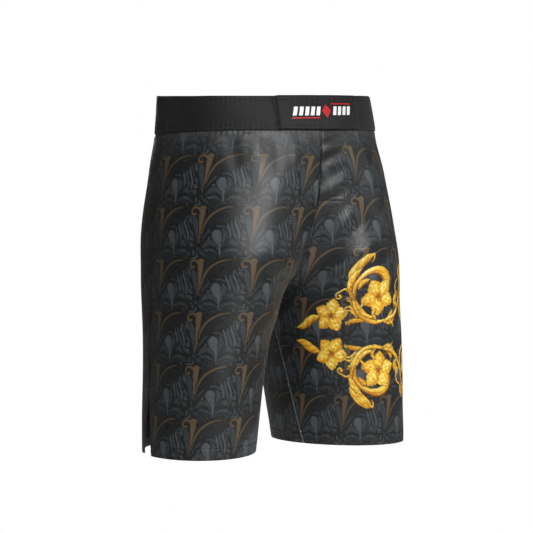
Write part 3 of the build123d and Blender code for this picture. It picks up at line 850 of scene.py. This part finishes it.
def band_strip(name, layer, inset, first, last, pitch=1.6, rib=0.0, hole=None):
    """Strip of the waistband. first and last are shares on the left; over 1 is round on the right."""
    rows, columns = len(spaced(0, BAND_HEIGHT, pitch)), len(spaced(0, (last - first) * HALF_WAIST, pitch))
    part = np.linspace(0, 1, rows)[:, None]
    share = np.linspace(first, last, columns)[None, :]
    top, bottom = band_top(share) + inset[0], band_bottom(share) - inset[1]
    depth = top + (bottom - top) * part
    cloth = Cloth(1, np.repeat(share, rows, 0), depth)
    down = depth - top
    height = bottom - top
    x = cloth.base[..., 0]
    wave = 0.25 * np.sin(x * 0.05 + 1) * np.sin(depth * 0.09)
    run = share * HALF_WAIST
    lines = seam_dip(down - BAND_SEAM_TOP, run, 0.3, 1.0)
    lines = lines + seam_dip(height - down - BAND_SEAM_BOTTOM, run, 0.3, 1.0)
    roll = -0.5 * np.exp(-(down / 1.2) ** 2) - 0.5 * np.exp(-((height - down) / 1.2) ** 2)
    ribs = rib * np.cos(down * 2 * math.pi / RIB_PITCH)
    cloth.lift = ribs if rib else np.clip(wave + lines + roll, -0.9, 0.12)
    if hole is None:
        return closed_sheet(name, cloth, layer[1], layer[0])
    return pierced_sheet(name, cloth, layer[1], layer[0], hole, EYELET_HOLE)


def patch_cloth(x_range, top, bottom, pitch, folded=False):
    """Grid of a patch on the front between two x places. top and bottom give the depth at a share."""
    x = spaced(*x_range, pitch)[None, :]
    first = share_at_x(x, BAND_MIDDLE)
    height = float(np.max(bottom(first) - top(first)))
    part = np.linspace(0, 1, len(spaced(0, height, pitch)))[:, None]
    depth = top(first) + (bottom(first) - top(first)) * part
    x = np.repeat(x, len(part), 0)
    cloth = Cloth(1, share_at_x(x, depth), depth, folded)
    cloth.x, cloth.down, cloth.up = x, part * height, (1 - part) * height
    cloth.from_start, cloth.from_end = x - x_range[0], x_range[1] - x
    return cloth


def level(depth):
    return lambda u: depth + 0 * u


def below(edge, distance):
    return lambda u: edge(u) + distance


def soft_edges(cloth, amount=0.35, width=0.8):
    """Rounds a patch's edges down."""
    near = np.minimum(np.minimum(cloth.down, cloth.up), np.minimum(cloth.from_start, cloth.from_end))
    return -amount * np.exp(-(near / width) ** 2)


# ---------------------------------------------------------------- stitching
RING = 6  # corners round a thread
STITCH_RADIUS = 0.2
STITCH_RISE = 0.12


def resample(side, share, depth, distance, pitch):
    """Points and normals at even pitch along a line on the garment, standing off it by distance."""
    cloth = Cloth(side, share, depth)
    points = cloth.at(distance)
    run = run_length(points)
    where = np.linspace(0, run[-1], max(3, int(run[-1] / pitch) + 1))
    return at_run(where, run, points), unit(at_run(where, run, cloth.normal))


class Threads:
    """Collects stitches, each a short thread that rises from the cloth and dips back."""

    def __init__(self):
        self.vertices, self.faces = [], []

    def bead(self, start, end, away, radius, rise):
        stations = np.array([0.0, 0.14, 0.5, 0.86, 1.0])
        swell = np.array([0.35, 0.85, 1.0, 0.85, 0.35])
        height = rise * np.array([-0.9, 0.2, 1.0, 0.2, -0.9])
        along = (end - start) / max(np.linalg.norm(end - start), 1e-6)
        across = np.cross(away, along)
        first = len(self.vertices)
        for s, w, h in zip(stations, swell, height):
            centre = start + (end - start) * s + away * h
            for k in range(RING):
                a = 2 * math.pi * k / RING
                self.vertices.append(centre + radius * w * (across * math.cos(a) + away * math.sin(a)))
        for ring in range(len(stations) - 1):
            for k in range(RING):
                a, b = first + ring * RING + k, first + ring * RING + (k + 1) % RING
                self.faces.append((a, b, b + RING, a + RING))
        self.faces.append(tuple(range(first + RING - 1, first - 1, -1)))
        last = first + (len(stations) - 1) * RING
        self.faces.append(tuple(range(last, last + RING)))

    def beads_along(self, points, away, first, spare, pitch, length):
        """Even stitches along a row of points; spare is kept free before its end."""
        run = run_length(points)
        where = np.arange(first, run[-1] - spare, pitch)
        starts, ends = at_run(where, run, points), at_run(where + length, run, points)
        for start, end, n in zip(starts, ends, at_run(where, run, away)):
            self.bead(start, end, n, STITCH_RADIUS, STITCH_RISE)

    def row(self, side, share, depth, distance=0.15, length=2.3, gap=0.7):
        points, away = resample(side, share, depth, distance, length + gap)
        tangent = unit(np.gradient(points, axis=0))
        for p, t, n in zip(points[:-1], tangent, away):
            self.bead(p, p + t * length, n, STITCH_RADIUS, STITCH_RISE)

    def zigzag(self, side, share, depth, width, pitch, distance=0.2, radius=STITCH_RADIUS):
        points, away = resample(side, share, depth, distance, pitch)
        across = unit(np.cross(away, unit(np.gradient(points, axis=0))))
        corners = points + across * (width / 2 * (-1.0) ** np.arange(len(points)))[:, None]
        for start, end, n in zip(corners, corners[1:], away):
            self.bead(start, end, n, radius, 0.1)

    def make(self, name):
        return new_object(name, np.array(self.vertices), self.faces)


# ---------------------------------------------------------------- materials
def nodes_of(name, roughness, specular=0.4, sheen=0.0, metallic=0.0):
    material = bpy.data.materials.new(name)
    material.use_nodes = True
    shader = material.node_tree.nodes["Principled BSDF"]
    shader.inputs["Roughness"].default_value = roughness
    shader.inputs["Specular IOR Level"].default_value = specular
    shader.inputs["Sheen Weight"].default_value = sheen
    shader.inputs["Sheen Roughness"].default_value = 0.4
    shader.inputs["Metallic"].default_value = metallic
    return material, material.node_tree, shader


def add(tree, kind, **settings):
    """New node. A setting is an input's value, an output to link to an input, or one of its properties."""
    node = tree.nodes.new(kind)
    for key, value in settings.items():
        if key not in node.inputs:
            setattr(node, key, value)
        elif isinstance(value, bpy.types.NodeSocket):
            tree.links.new(value, node.inputs[key])
        else:
            node.inputs[key].default_value = value
    return node


def maths(tree, operation, a, b=None):
    node = add(tree, "ShaderNodeMath", operation=operation)
    for socket, value in zip(node.inputs, (a, b)):
        if value is None:
            continue
        if isinstance(value, (int, float)):
            socket.default_value = value
        else:
            tree.links.new(value, socket)
    return node.outputs[0]


def weave_height(tree, pitch, twill=True):
    """Woven threads over and under, at a thread pitch in metres, from the cloth's own coordinates."""
    uv = add(tree, "ShaderNodeUVMap", uv_map="cloth")
    split = add(tree, "ShaderNodeSeparateXYZ", Vector=uv.outputs[0])
    x, y = (maths(tree, "MULTIPLY", split.outputs[axis], 2 * math.pi / pitch) for axis in (0, 1))
    if twill:
        slope = maths(tree, "ADD", x, y)
        ribs = maths(tree, "MULTIPLY", maths(tree, "SINE", x), 0.4)
        return maths(tree, "ADD", maths(tree, "SINE", slope), ribs)
    return maths(tree, "MULTIPLY", maths(tree, "SINE", x), maths(tree, "SINE", y))


def textured(tree, kind, **settings):
    """Texture node in the object's own coordinates."""
    coordinates = add(tree, "ShaderNodeTexCoord")
    return add(tree, kind, Vector=coordinates.outputs["Object"], **settings)


def noise(tree, scale, detail):
    return textured(tree, "ShaderNodeTexNoise", Scale=scale, Detail=detail).outputs["Fac"]


def bump(tree, shader, height, strength, distance):
    node = add(tree, "ShaderNodeBump", Strength=strength, Distance=distance, Height=height)
    tree.links.new(node.outputs[0], shader.inputs["Normal"])


def tinted(tree, shader, colour, scale, low, high):
    """Base colour whose brightness wanders a little over the cloth."""
    span = add(tree, "ShaderNodeMapRange", Value=noise(tree, scale, 4.0), **{"To Min": low, "To Max": high})
    mix = add(tree, "ShaderNodeVectorMath", operation="SCALE", Vector=colour, Scale=span.outputs[0])
    tree.links.new(mix.outputs[0], shader.inputs["Base Color"])


def printed_material(name, roughness, specular):
    material, tree, shader = nodes_of(name, roughness, specular, 0.05)
    colour = add(tree, "ShaderNodeVertexColor", layer_name="print")
    tinted(tree, shader, colour.outputs[0], 26, 0.86, 1.16)
    wander = maths(tree, "MULTIPLY", noise(tree, 900, 2.0), 0.5)
    bump(tree, shader, maths(tree, "ADD", weave_height(tree, 0.0011), wander), 0.22, 0.0002)
    return material


def cloth_material(name, colour, roughness, pitch, strength=0.4, twill=True, sheen=0.1, specular=0.4):
    material, tree, shader = nodes_of(name, roughness, specular, sheen)
    tinted(tree, shader, colour, 40, 0.8, 1.2)
    wander = maths(tree, "MULTIPLY", noise(tree, 700, 2.0), 0.8)
    bump(tree, shader, maths(tree, "ADD", weave_height(tree, pitch, twill), wander), strength, 0.0002)
    return material


def pile_material(name, colour, scale):
    """Hook or loop pile: small bristling points."""
    material, tree, shader = nodes_of(name, 0.85, 0.3, 0.25)
    tinted(tree, shader, colour, 500, 0.55, 1.5)
    cells = textured(tree, "ShaderNodeTexVoronoi", Scale=scale)
    bump(tree, shader, maths(tree, "SUBTRACT", 1.0, cells.outputs["Distance"]), 0.9, 0.0006)
    return material


def thread_material(name, colour):
    material, tree, shader = nodes_of(name, 0.5, 0.4, 0.2)
    tinted(tree, shader, colour, 900, 0.7, 1.3)
    bump(tree, shader, noise(tree, 4000, 2.0), 0.3, 0.0001)
    return material


def metal_material():
    material, tree, shader = nodes_of("blackened_brass", 0.35, 0.5, 0.0, 1.0)
    tinted(tree, shader, srgb(92, 90, 88), 300, 0.75, 1.15)
    bump(tree, shader, noise(tree, 1500, 3.0), 0.12, 0.0001)
    return material


# ---------------------------------------------------------------- assembly
FLAP_SEWN_X = -61.5
FLAP_FOLD_X = -57.0
FLAP_END_X = 64.0
FLAP_ROWS = (-59.7, -54.0)
UNDERLAP_X = (-36.0, 36.0)
FLY_TAPE_X = (-30.0, -6.0)
FOLD_SHARE = 1.5
EYELET_X = 46.0
EYELET_DEPTH = 37.0
PANEL_PITCH = 1.15
ORNAMENT_PITCH = 0.95
SIDES = (("right", -1), ("left", 1))
# A volute's place on each half, across from the side seam and down, and the print's slant.
TILE_PLACE = {-1: (5.0, 96.0), 1: (-57.0, 80.5)}
TILE_SLANT = 0.03
# How far the cloth turns a lighter grey just under the waistband, and over how many mm that fades downwards.
UNDER_BAND_GREY = 0.65
UNDER_BAND_GREY_REACH = 14.0

tile = paint_tile()
ornament = paint_ornament()


def paint_cloth(cloth):
    """Print colours over a piece of cloth, turned a lighter grey just under the waistband; the gold lies over
    the leaf print on the left leg.
    """
    first_column, first_row = TILE_PLACE[1 if cloth.side > 0 else -1]
    x, y = cloth.across - first_column, cloth.depth - first_row
    colour = tile.at(x + TILE_SLANT * y, y)
    # The cloth turns a lighter grey just under the waistband, fading downwards.
    near_band = UNDER_BAND_GREY * np.exp(-np.maximum(cloth.depth - band_bottom(cloth.u), 0) / UNDER_BAND_GREY_REACH)
    colour = colour + (srgb(64, 65, 66) - colour) * near_band[..., None]
    if cloth.side > 0:
        cover = ornament.at(cloth.across, cloth.depth, ornament.cover) * smooth(0, -6, cloth.across)
        colour = colour + (ornament.at(cloth.across, cloth.depth) - colour) * cover[..., None]
    return colour


def ride_all(body, *pieces):
    for piece in pieces:
        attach(piece, body)


def dress(piece, material):
    piece.data.materials.clear()
    piece.data.materials.append(material)
    return piece


def blend_fly(piece):
    """Bakes the piece's placement into its mesh."""
    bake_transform(piece)


def blend_band(piece):
    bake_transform(piece)


def blend_flap(piece):
    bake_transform(piece)


printed = printed_material("printed_microfibre", 0.41, 0.46)
glossy_print = printed_material("printed_satin", 0.42, 0.5)
band_cloth = cloth_material("band_twill", srgb(13, 13, 14), 0.6, 0.0016, 0.5)
lining_cloth = cloth_material("lining_weave", srgb(30, 30, 33), 0.7, 0.0009, 0.3, twill=False)
elastic_cloth = cloth_material("ribbed_elastic", srgb(34, 34, 36), 0.6, 0.0022, 0.5, twill=False)
facing_cloth = cloth_material("satin_facing", srgb(16, 17, 19), 0.36, 0.0009, 0.15, specular=0.5)
hook_pile = pile_material("hook_pile", srgb(18, 18, 19), 900)
loop_pile = pile_material("loop_pile", srgb(26, 26, 28), 600)
black_thread = thread_material("black_thread", srgb(20, 20, 22))
grey_thread = thread_material("grey_thread", srgb(140, 142, 146))
white_ink = cloth_material("white_transfer", srgb(226, 226, 224), 0.45, 0.0016, 0.12, sheen=0.0)
red_ink = cloth_material("red_transfer", srgb(186, 26, 32), 0.45, 0.0016, 0.12, sheen=0.0)
label_satin = cloth_material("label_satin", srgb(214, 214, 210), 0.45, 0.0007, 0.2)
metal = metal_material()

# Main panels.
panels = {}
for where, back in (("front", False), ("back", True)):
    for hand, side in SIDES:
        pitch = ORNAMENT_PITCH if (where, hand) == ("front", "left") else PANEL_PITCH
        cloth = panel(f"cloth_{where}_{hand}", side, back, pitch, paint_cloth)
        panels[f"{where}_{hand}"] = dress(cloth, printed)
        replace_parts(cloth, f"{where}_panel_{hand}")
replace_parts(panels["front_right"], "fly_flap")
blend_fly(panels["front_right"])
ride_all("shorts", panels["front_left"], panels["back_right"], panels["back_left"])

hem_slit = (SLIT_HALF_WIDTH + 0.6) * float(share_per_mm(OUTSEAM))
hem_seam = float(side_seam(OUTSEAM))
thighs, hems = {}, {}
for hand, side in SIDES:
    thighs[hand] = dress(thigh_panel(f"cloth_thigh_{hand}", side, paint_cloth), printed)
    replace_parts(thighs[hand], f"inner_thigh_panel_{hand}")
    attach(thighs[hand], "shorts")
    for where, low, high in (("front", 0.076, hem_seam - hem_slit), ("back", hem_seam + hem_slit, 0.924)):
        hem = dress(hem_strip(f"hem_{where}_{hand}", side, low, high, paint_cloth), printed)
        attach(hem, "shorts")
        hems[f"{where}_{hand}"] = hem

# Seam allowances, overlocked together inside the garment.
seam_tapes = {}


def seam_tape(name, side, share_of, first, last, half_width, pitch=2.2):
    """Narrow ribbed strip inside, along a seam whose share at a depth is share_of(depth)."""
    depth = spaced(first, last, pitch)
    across = np.linspace(-1, 1, 9)[None, :] * half_width * share_per_mm(depth)[:, None]
    cloth = Cloth(side, share_of(depth)[:, None] + across, np.repeat(depth[:, None], 9, 1))
    cloth.lift = cloth.lift + 0.12 * np.sin(depth * 2.1)[:, None]
    seam_tapes[name] = dress(closed_sheet(name, cloth, *SEAM_FACES), lining_cloth)
    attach(seam_tapes[name], "shorts")


def centre_front(depth):
    return 0 * depth


def centre_back(depth):
    return 1 + 0 * depth


for hand, side in SIDES:
    seam_tape(f"side_seam_{hand}", side, side_seam, 60, SLIT_TOP - 1, 5.0)
    seam_tape(f"thigh_seam_front_{hand}", side, gusset_share, CROTCH_DEPTH + 8, OUTSEAM - 16, 3.5)
    seam_tape(f"thigh_seam_back_{hand}", side, lambda depth: 1 - gusset_share(depth), CROTCH_DEPTH + 8,
              OUTSEAM - 16, 3.5)
seam_tape("crotch_seam", 1, centre_front, FLY_DEPTH - 2, CROTCH_DEPTH - 0.5, 5.0)
seam_tape("seat_seam", 1, centre_back, 58, CROTCH_DEPTH - 0.5, 5.0)
for hand, side in SIDES:
    seam_tape(f"crotch_point_{hand}", side, centre_front, CROTCH_DEPTH + 0.5, CROTCH_DEPTH + 10, 4.0, 1.0)

# Waistband, its lining and elastic. The part round the right front is a piece of its own.
BAND_START = 0.0005
FOLD_GAP = 0.0002
BAND_LAYER, LINING_LAYER = (0.3, 1.5), (-2.9, -1.9)
body_span = (BAND_START, FOLD_SHARE - FOLD_GAP)
right_span = (FOLD_SHARE + FOLD_GAP, 2 - BAND_START)
eyelet_left, eyelet_right = (surface(1, share_at_x(x, EYELET_DEPTH), EYELET_DEPTH)
                             for x in (EYELET_X, -EYELET_X))


def band_piece(name, node, material, slot, layer, inset, span, **shape):
    """Strip of the waistband that stands for a CAD node."""
    piece = dress(band_strip(name, layer, inset, *span, **shape), material)
    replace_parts(piece, node)
    return piece


band_body = band_piece("waistband_body", "waistband", band_cloth, "band_cloth", BAND_LAYER, (0, 0), body_span)
band_right = band_piece("waistband_front_right", "band_end", band_cloth, "band_cloth", BAND_LAYER, (0, 0),
                        right_span, pitch=1.3)
lining_body = band_piece("lining_body", "waistband_lining", lining_cloth, "lining_cloth", LINING_LAYER,
                         (2, 2), body_span, hole=eyelet_left)
lining_right = band_piece("lining_front_right", "band_end_lining", lining_cloth, "lining_cloth", LINING_LAYER,
                          (2, 2), right_span, hole=eyelet_right)
elastic = band_piece("waist_elastic_body", "waist_elastic", elastic_cloth, "elastic", (-1.5, -0.5), (5, 17),
                     (0.56, 1.44), rib=0.15)
ride_all("shorts", band_body, lining_body, elastic)
blend_band(band_right)
blend_band(lining_right)

# Waist flap with its hook tape and emblem.
flap_grid = patch_cloth((FLAP_SEWN_X, FLAP_END_X), below(band_top, 0.5), below(band_bottom, -1), 1.0)
lines = sum(seam_dip(away, flap_grid.x, 0.3, 0.9) for away in (flap_grid.down - 5, flap_grid.up - 5))
lines = lines + sum(seam_dip(flap_grid.x - x, flap_grid.down, 0.35, 0.9) for x in FLAP_ROWS)
lines = lines + seam_dip(flap_grid.from_end - 5, flap_grid.down, 0.3, 0.9)
flap_grid.lift = np.clip(lines + soft_edges(flap_grid, 0.5, 0.9), -0.7, 0.15)
root = smooth(FLAP_FOLD_X + 3, FLAP_SEWN_X + 1, flap_grid.x)
flap = dress(closed_sheet("waist_flap_cloth", flap_grid, 4.7 - 2.6 * root, 3.5 - 1.9 * root), band_cloth)
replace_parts(flap, "waist_flap", "flap_root")
blend_flap(flap)


def patch(name, node, grid, outer, inner, material, rounding=(0.3, 1.0), colour=None):
    """Closed patch with rounded edges that stands for a CAD node."""
    grid.lift = grid.lift + soft_edges(grid, *rounding)
    piece = dress(closed_sheet(name, grid, outer, inner, colour=colour), material)
    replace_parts(piece, node)
    return piece


def tape(name, node, grid, outer, inner, material, body):
    """Hook or loop tape: a woven strip with bristly ridges."""
    rough = 0.1 * np.sin(grid.x * 3.1 + grid.down) * np.sin(grid.down * 2.7 - grid.x * 0.7)
    grid.lift = grid.lift + np.minimum(rough, 0.0)
    piece = patch(name, node, grid, outer, inner, material, (0.2, 0.7))
    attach(piece, body)
    return piece


def band_patch(margin, end_gap):
    """Patch at the flap's end of the waistband: margin long, end_gap short of the end."""
    across = (FLAP_END_X - margin, FLAP_END_X - end_gap)
    return patch_cloth(across, below(band_top, 6), below(band_bottom, -6), 0.8)


def fly_tape_patch(first, last):
    return patch_cloth(FLY_TAPE_X, level(first), level(last), 1.0, True)


flap_hook = tape("flap_hook_strip", "flap_hook_tape", band_patch(44, 4), 3.0, 2.65, hook_pile,
                 "waist_flap")
band_loop = tape("band_loop_strip", "band_loop_tape", band_patch(60, 3), 2.35, 1.8, loop_pile,
                 "shorts")
fly_hook = tape("fly_hook_strip", "fly_hook_tape", fly_tape_patch(66, 190), -1.3, -1.9, hook_pile,
                "fly_opening")
fly_loop = tape("fly_loop_strip", "fly_loop_tape", fly_tape_patch(64, 192), -2.5, -3.1, loop_pile,
                "shorts")
shield = patch("fly_shield_cloth", "fly_shield",
               patch_cloth(UNDERLAP_X, level(24), level(FLY_DEPTH + 5), 1.5, True), -3.3, -4.3, facing_cloth)
facing_grid = patch_cloth(FACING_X, below(band_bottom, 0.5), level(FACING_BOTTOM), 0.8, True)
facing_tone = 0.5 + 0.4 * smooth(FACING_X[1] - 14, FACING_X[1] - 2, facing_grid.x)
facing = patch("fly_facing_cloth", "fly_facing", facing_grid, 1.0, 0.5, glossy_print,
               (0.45, 0.8), colour=facing_tone[..., None] * paint_cloth(facing_grid))
ride_all("shorts", shield, facing)


def emblem_shape(name, outline, material):
    """Flat transfer with a given outline of (x, distance below the band's top edge), laid on the flap."""
    outline = np.array(outline, float) * (1.07, 1) + (1.0, 0)
    dense = np.concatenate([np.linspace(a, b, 9)[:-1] for a, b in zip(outline, np.roll(outline, -1, 0))])
    centre = dense.mean(0)
    vertices = []
    for size, height in ((1.0, 4.75), (1.0, 5.0), (0.925, 5.3), (0.75, 5.35), (0.5, 5.35), (0.25, 5.35)):
        ring = centre + (dense - centre) * size
        depth = band_top(share_at_x(ring[:, 0], 30.0)) + ring[:, 1]
        vertices += list(Cloth(1, share_at_x(ring[:, 0], depth), depth, folded=False).at(height))
    count = len(dense)
    faces = [(r + k, r + (k + 1) % count, r + (k + 1) % count + count, r + k + count)
             for r in range(0, 5 * count, count) for k in range(count)]
    faces.append(tuple(range(5 * count, 6 * count)))
    faces.append(tuple(range(count - 1, -1, -1)))
    piece = dress(new_object(name, vertices, faces), material)
    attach(piece, "waist_flap")
    return piece


def leaning(x, width, top, bottom, lean):
    """Outline of a bar between two distances below the band's top edge, leaning to the right at its top."""
    return [(x + lean, top), (x + width + lean, top), (x + width, bottom), (x, bottom)]


emblem = [emblem_shape(f"emblem_bar_{i}", leaning(x, 5.0, 15.5, 26.5, 3.0), white_ink)
          for i, x in enumerate((-39.0, -31.5, -24.0, -16.5, -9.0, 15.0, 22.5, 30.0, 37.5))]
emblem.append(emblem_shape("emblem_diamond", [(6.5, 12.5), (13.0, 21.0), (6.5, 29.5), (0.0, 21.0)], red_ink))
emblem.append(emblem_shape("emblem_rule_low", leaning(-40.6, 37.0, 28.6, 30.0, 0.6), red_ink))
emblem.append(emblem_shape("emblem_rule_high", leaning(14.4, 32.0, 11.6, 13.0, 0.6), red_ink))
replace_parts(emblem[0], "flap_emblem")

label_strip = band_piece("care_label", "inside_label", label_satin, "label", (-3.8, -3.3), (12, 10),
                         (0.955, 1.045), pitch=0.9)
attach(label_strip, "shorts")

# Stitching.
def thread(threads, name, material=black_thread, bend=None):
    """Makes collected stitches into a piece that rides with the garment, or hands it to bend instead."""
    piece = dress(threads.make(name), material)
    if bend:
        bend(piece)
    else:
        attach(piece, "shorts")
    return piece


for name, first, last, bend in (("body", BAND_START, FOLD_SHARE, None),
                                ("right", FOLD_SHARE, 2 - BAND_START, blend_band)):
    share = np.linspace(first, last, 400)
    rows = Threads()
    for depth in (band_top(share) + BAND_SEAM_TOP, band_bottom(share) - BAND_SEAM_BOTTOM):
        row = Cloth(1, share, depth, folded=False)
        rows.beads_along(row.at(1.35), row.normal, 1.5, 3, 3.2, 2.4)
    thread(rows, f"band_stitches_{name}", bend=bend)

flap_rows = Threads()


def flap_line(x, depth):
    """Stitch row on the flap along x, depth points."""
    x, depth = np.broadcast_arrays(np.asarray(x, float), np.asarray(depth, float))
    row = Cloth(1, share_at_x(x, depth), depth, folded=False)
    points = row.at(4.6 - 2.6 * smooth(FLAP_FOLD_X + 3, FLAP_SEWN_X + 1, x))
    away = np.broadcast_to(row.normal[len(points) // 2], points.shape)
    flap_rows.beads_along(points, away, 0.5, 2.4, 3.0, 2.3)


for edge, inset in ((band_top, 5.5), (band_bottom, -6)):
    x = np.linspace(FLAP_ROWS[1], FLAP_END_X - 5, 90)
    flap_line(x, edge(share_at_x(x, BAND_MIDDLE)) + inset)
for x in (*FLAP_ROWS, FLAP_END_X - 5):
    u = float(share_at_x(x, BAND_MIDDLE))
    flap_line(x, np.linspace(float(band_top(u)) + 3, float(band_bottom(u)) - 4, 30))
thread(flap_rows, "flap_stitches", bend=blend_flap)

for hand, side in SIDES:
    rows = Threads()
    depth = np.linspace(band_bottom_at_side(side) + 2, SLIT_TOP - 5, 300)
    for away_mm in (-2.2, 2.2):
        rows.row(side, side_seam(depth) + away_mm * share_per_mm(depth), depth)
    depth = np.linspace(SLIT_TOP - 2, OUTSEAM - HEM_FOLD, 90)
    for sign in (-1, 1):
        rows.row(side, side_seam(depth) + sign * (slit_opening(depth) + 5) * share_per_mm(depth), depth)
    hem_gap = (SLIT_HALF_WIDTH + 1.5) * float(share_per_mm(OUTSEAM))
    for low, high in ((0.078, hem_seam - hem_gap), (hem_seam + hem_gap, 0.922)):
        share = np.linspace(low, high, 300)
        rows.row(side, share, np.full(300, OUTSEAM - HEM_FOLD), length=2.0, gap=0.6)
    thread(rows, f"leg_stitches_{hand}")
    flat = Threads()
    depth = np.linspace(GUSSET_TOP + 2, OUTSEAM - 2, 300)
    for sign in (1, -1):
        share = sign * (gusset_share(depth) + 0.3 * share_per_mm(depth))
        flat.zigzag(side, share, depth, 2.2, 0.9, 0.35, 0.16)
    thread(flat, f"gusset_flatlock_{hand}", grey_thread)
    bar = Threads()
    bar_share = np.linspace(-4, 4, 30) * share_per_mm(SLIT_TOP) + side_seam(SLIT_TOP)
    bar.zigzag(side, bar_share, np.full(30, SLIT_TOP - 3), 2.6, 0.35, 0.5)
    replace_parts(thread(bar, f"slit_bar_{hand}"), f"slit_bartack_{hand}")

centre = Threads()
depth = np.linspace(FLY_DEPTH + 8, CROTCH_DEPTH - 3, 80)
centre.row(1, 2.2 * share_per_mm(depth), depth)
depth = np.linspace(float(band_bottom(1)) + 3, CROTCH_DEPTH - 3, 200)
centre.row(1, 1 - 2.4 * share_per_mm(depth), depth)
centre.row(-1, 1 - 2.4 * share_per_mm(depth), depth)
depth = np.linspace(float(band_bottom(0)) + 2, FACING_BOTTOM - 3, 90)
centre.row(1, share_at_x(32.0, depth), depth, 1.1)
thread(centre, "centre_stitches")
tack = Threads()
tack.zigzag(1, np.linspace(-4, 4, 30) * share_per_mm(FLY_DEPTH), np.full(30, FLY_DEPTH + 1), 3.6, 0.35, 1.0)
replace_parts(thread(tack, "fly_bar"), "fly_bartack")

fly_rows = Threads()
depth = np.linspace(float(band_bottom(0)) + 2, FLY_DEPTH - 34, 120)
turn = np.linspace(0, math.pi / 2, 40)
j_run = np.concatenate([np.full(120, 34.0), 34 * np.cos(turn)])
j_depth = np.concatenate([depth, FLY_DEPTH - 34 + 30 * np.sin(turn)])
fly_rows.row(-1, j_run * share_per_mm(j_depth), j_depth)
thread(fly_rows, "fly_stitches", bend=blend_fly)

# CAD nodes that keep their own shape.
for node in ("drawcord_eyelet_left", "drawcord_eyelet_right"):
    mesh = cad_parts[node].data
    mesh.materials.clear()
    mesh.materials.append(metal)

# Sizes that the sheets were cut to, and lists of the pieces sewn onto each.
for where, size, area in (("front", (0.275, 0.455), 0.112), ("back", (0.270, 0.465), 0.105)):
    for hand in ("right", "left"):
        sewn_on = [hems[f"{where}_{hand}"]]
        if where == "back":
            sewn_on.append(seam_tapes[f"side_seam_{hand}"])
        if hand == "left":
            sewn_on.append(seam_tapes["crotch_seam" if where == "front" else "seat_seam"])
for hand, piece in thighs.items():
    sewn_on = [seam_tapes[f"{seam}_{hand}"]
               for seam in ("thigh_seam_front", "thigh_seam_back", "crotch_point")]

# ---------------------------------------------------------------- camera, floor and light
VIEW_TURN = math.radians(33)
VIEW_DISTANCE = 1.7
VIEW_HEIGHT = -0.227
LENS_MM = 86.3

camera_data = bpy.data.cameras.new("camera")
camera_data.lens = LENS_MM
camera_data.sensor_width = 36
camera_data.shift_x = 0.002
camera = bpy.data.objects.new("camera", camera_data)
bpy.context.collection.objects.link(camera)
camera.location = (-math.sin(VIEW_TURN) * VIEW_DISTANCE, -math.cos(VIEW_TURN) * VIEW_DISTANCE, VIEW_HEIGHT)
camera.rotation_euler = (math.pi / 2, 0, -VIEW_TURN)
bpy.context.scene.camera = camera

FLOOR_Z = -1.0
FLOOR_HALF = 200.0
FLOOR_WHITE = 1.0
AMBIENT = 0.07


def seen_white(tree, lit, white):
    """Mixes what the eye sees directly, plain white, with what lights the garment."""
    rays = add(tree, "ShaderNodeLightPath")
    mix = add(tree, "ShaderNodeMixShader")
    tree.links.new(rays.outputs["Is Camera Ray"], mix.inputs[0])
    tree.links.new(lit, mix.inputs[1])
    tree.links.new(white, mix.inputs[2])
    return mix.outputs[0]


pale = bpy.data.materials.new("pale_floor")
pale.use_nodes = True
pale_shader = pale.node_tree.nodes["Principled BSDF"]
pale_shader.inputs["Base Color"].default_value = (0.8, 0.8, 0.8, 1)
pale_shader.inputs["Roughness"].default_value = 1.0
glow = add(pale.node_tree, "ShaderNodeEmission", Color=(FLOOR_WHITE, FLOOR_WHITE, FLOOR_WHITE, 1))
pale.node_tree.links.new(seen_white(pale.node_tree, pale_shader.outputs[0], glow.outputs[0]),
                         pale.node_tree.nodes["Material Output"].inputs[0])
floor_mesh = bpy.data.meshes.new("floor")
corners = [(x * FLOOR_HALF, y * FLOOR_HALF, FLOOR_Z) for x, y in ((-1, -1), (1, -1), (1, 1), (-1, 1))]
floor_mesh.from_pydata(corners, [], [(0, 1, 2, 3)])
floor_mesh.materials.append(pale)
floor = bpy.data.objects.new("floor", floor_mesh)
bpy.context.collection.objects.link(floor)

world = bpy.data.worlds.new("studio")
world.use_nodes = True
sky = world.node_tree.nodes["Background"]
sky.inputs["Color"].default_value = (1, 1, 1, 1)
sky.inputs["Strength"].default_value = AMBIENT
white = add(world.node_tree, "ShaderNodeBackground", Color=(1, 1, 1, 1), Strength=1.0)
world.node_tree.links.new(seen_white(world.node_tree, sky.outputs[0], white.outputs[0]),
                          world.node_tree.nodes["World Output"].inputs[0])
bpy.context.scene.world = world
bpy.context.scene.view_settings.view_transform = "Standard"


def area_light(name, place, power, size):
    """Soft square light that faces the middle of the garment."""
    data = bpy.data.lights.new(name, "AREA")
    data.energy = power
    data.size = size
    light = bpy.data.objects.new(name, data)
    bpy.context.collection.objects.link(light)
    light.location = place
    toward = np.array([0, 0, -0.23]) - np.array(place)
    tilt = math.atan2(math.hypot(toward[0], toward[1]), -toward[2])
    light.rotation_euler = (tilt, 0, math.atan2(toward[1], toward[0]) - math.pi / 2)


area_light("key", (-0.3, -2.1, 0.8), 52, 0.6)
area_light("fill", (1.8, -1.3, 0.5), 6, 0.7)
area_light("back", (1.0, 2.3, 0.9), 40, 1.2)
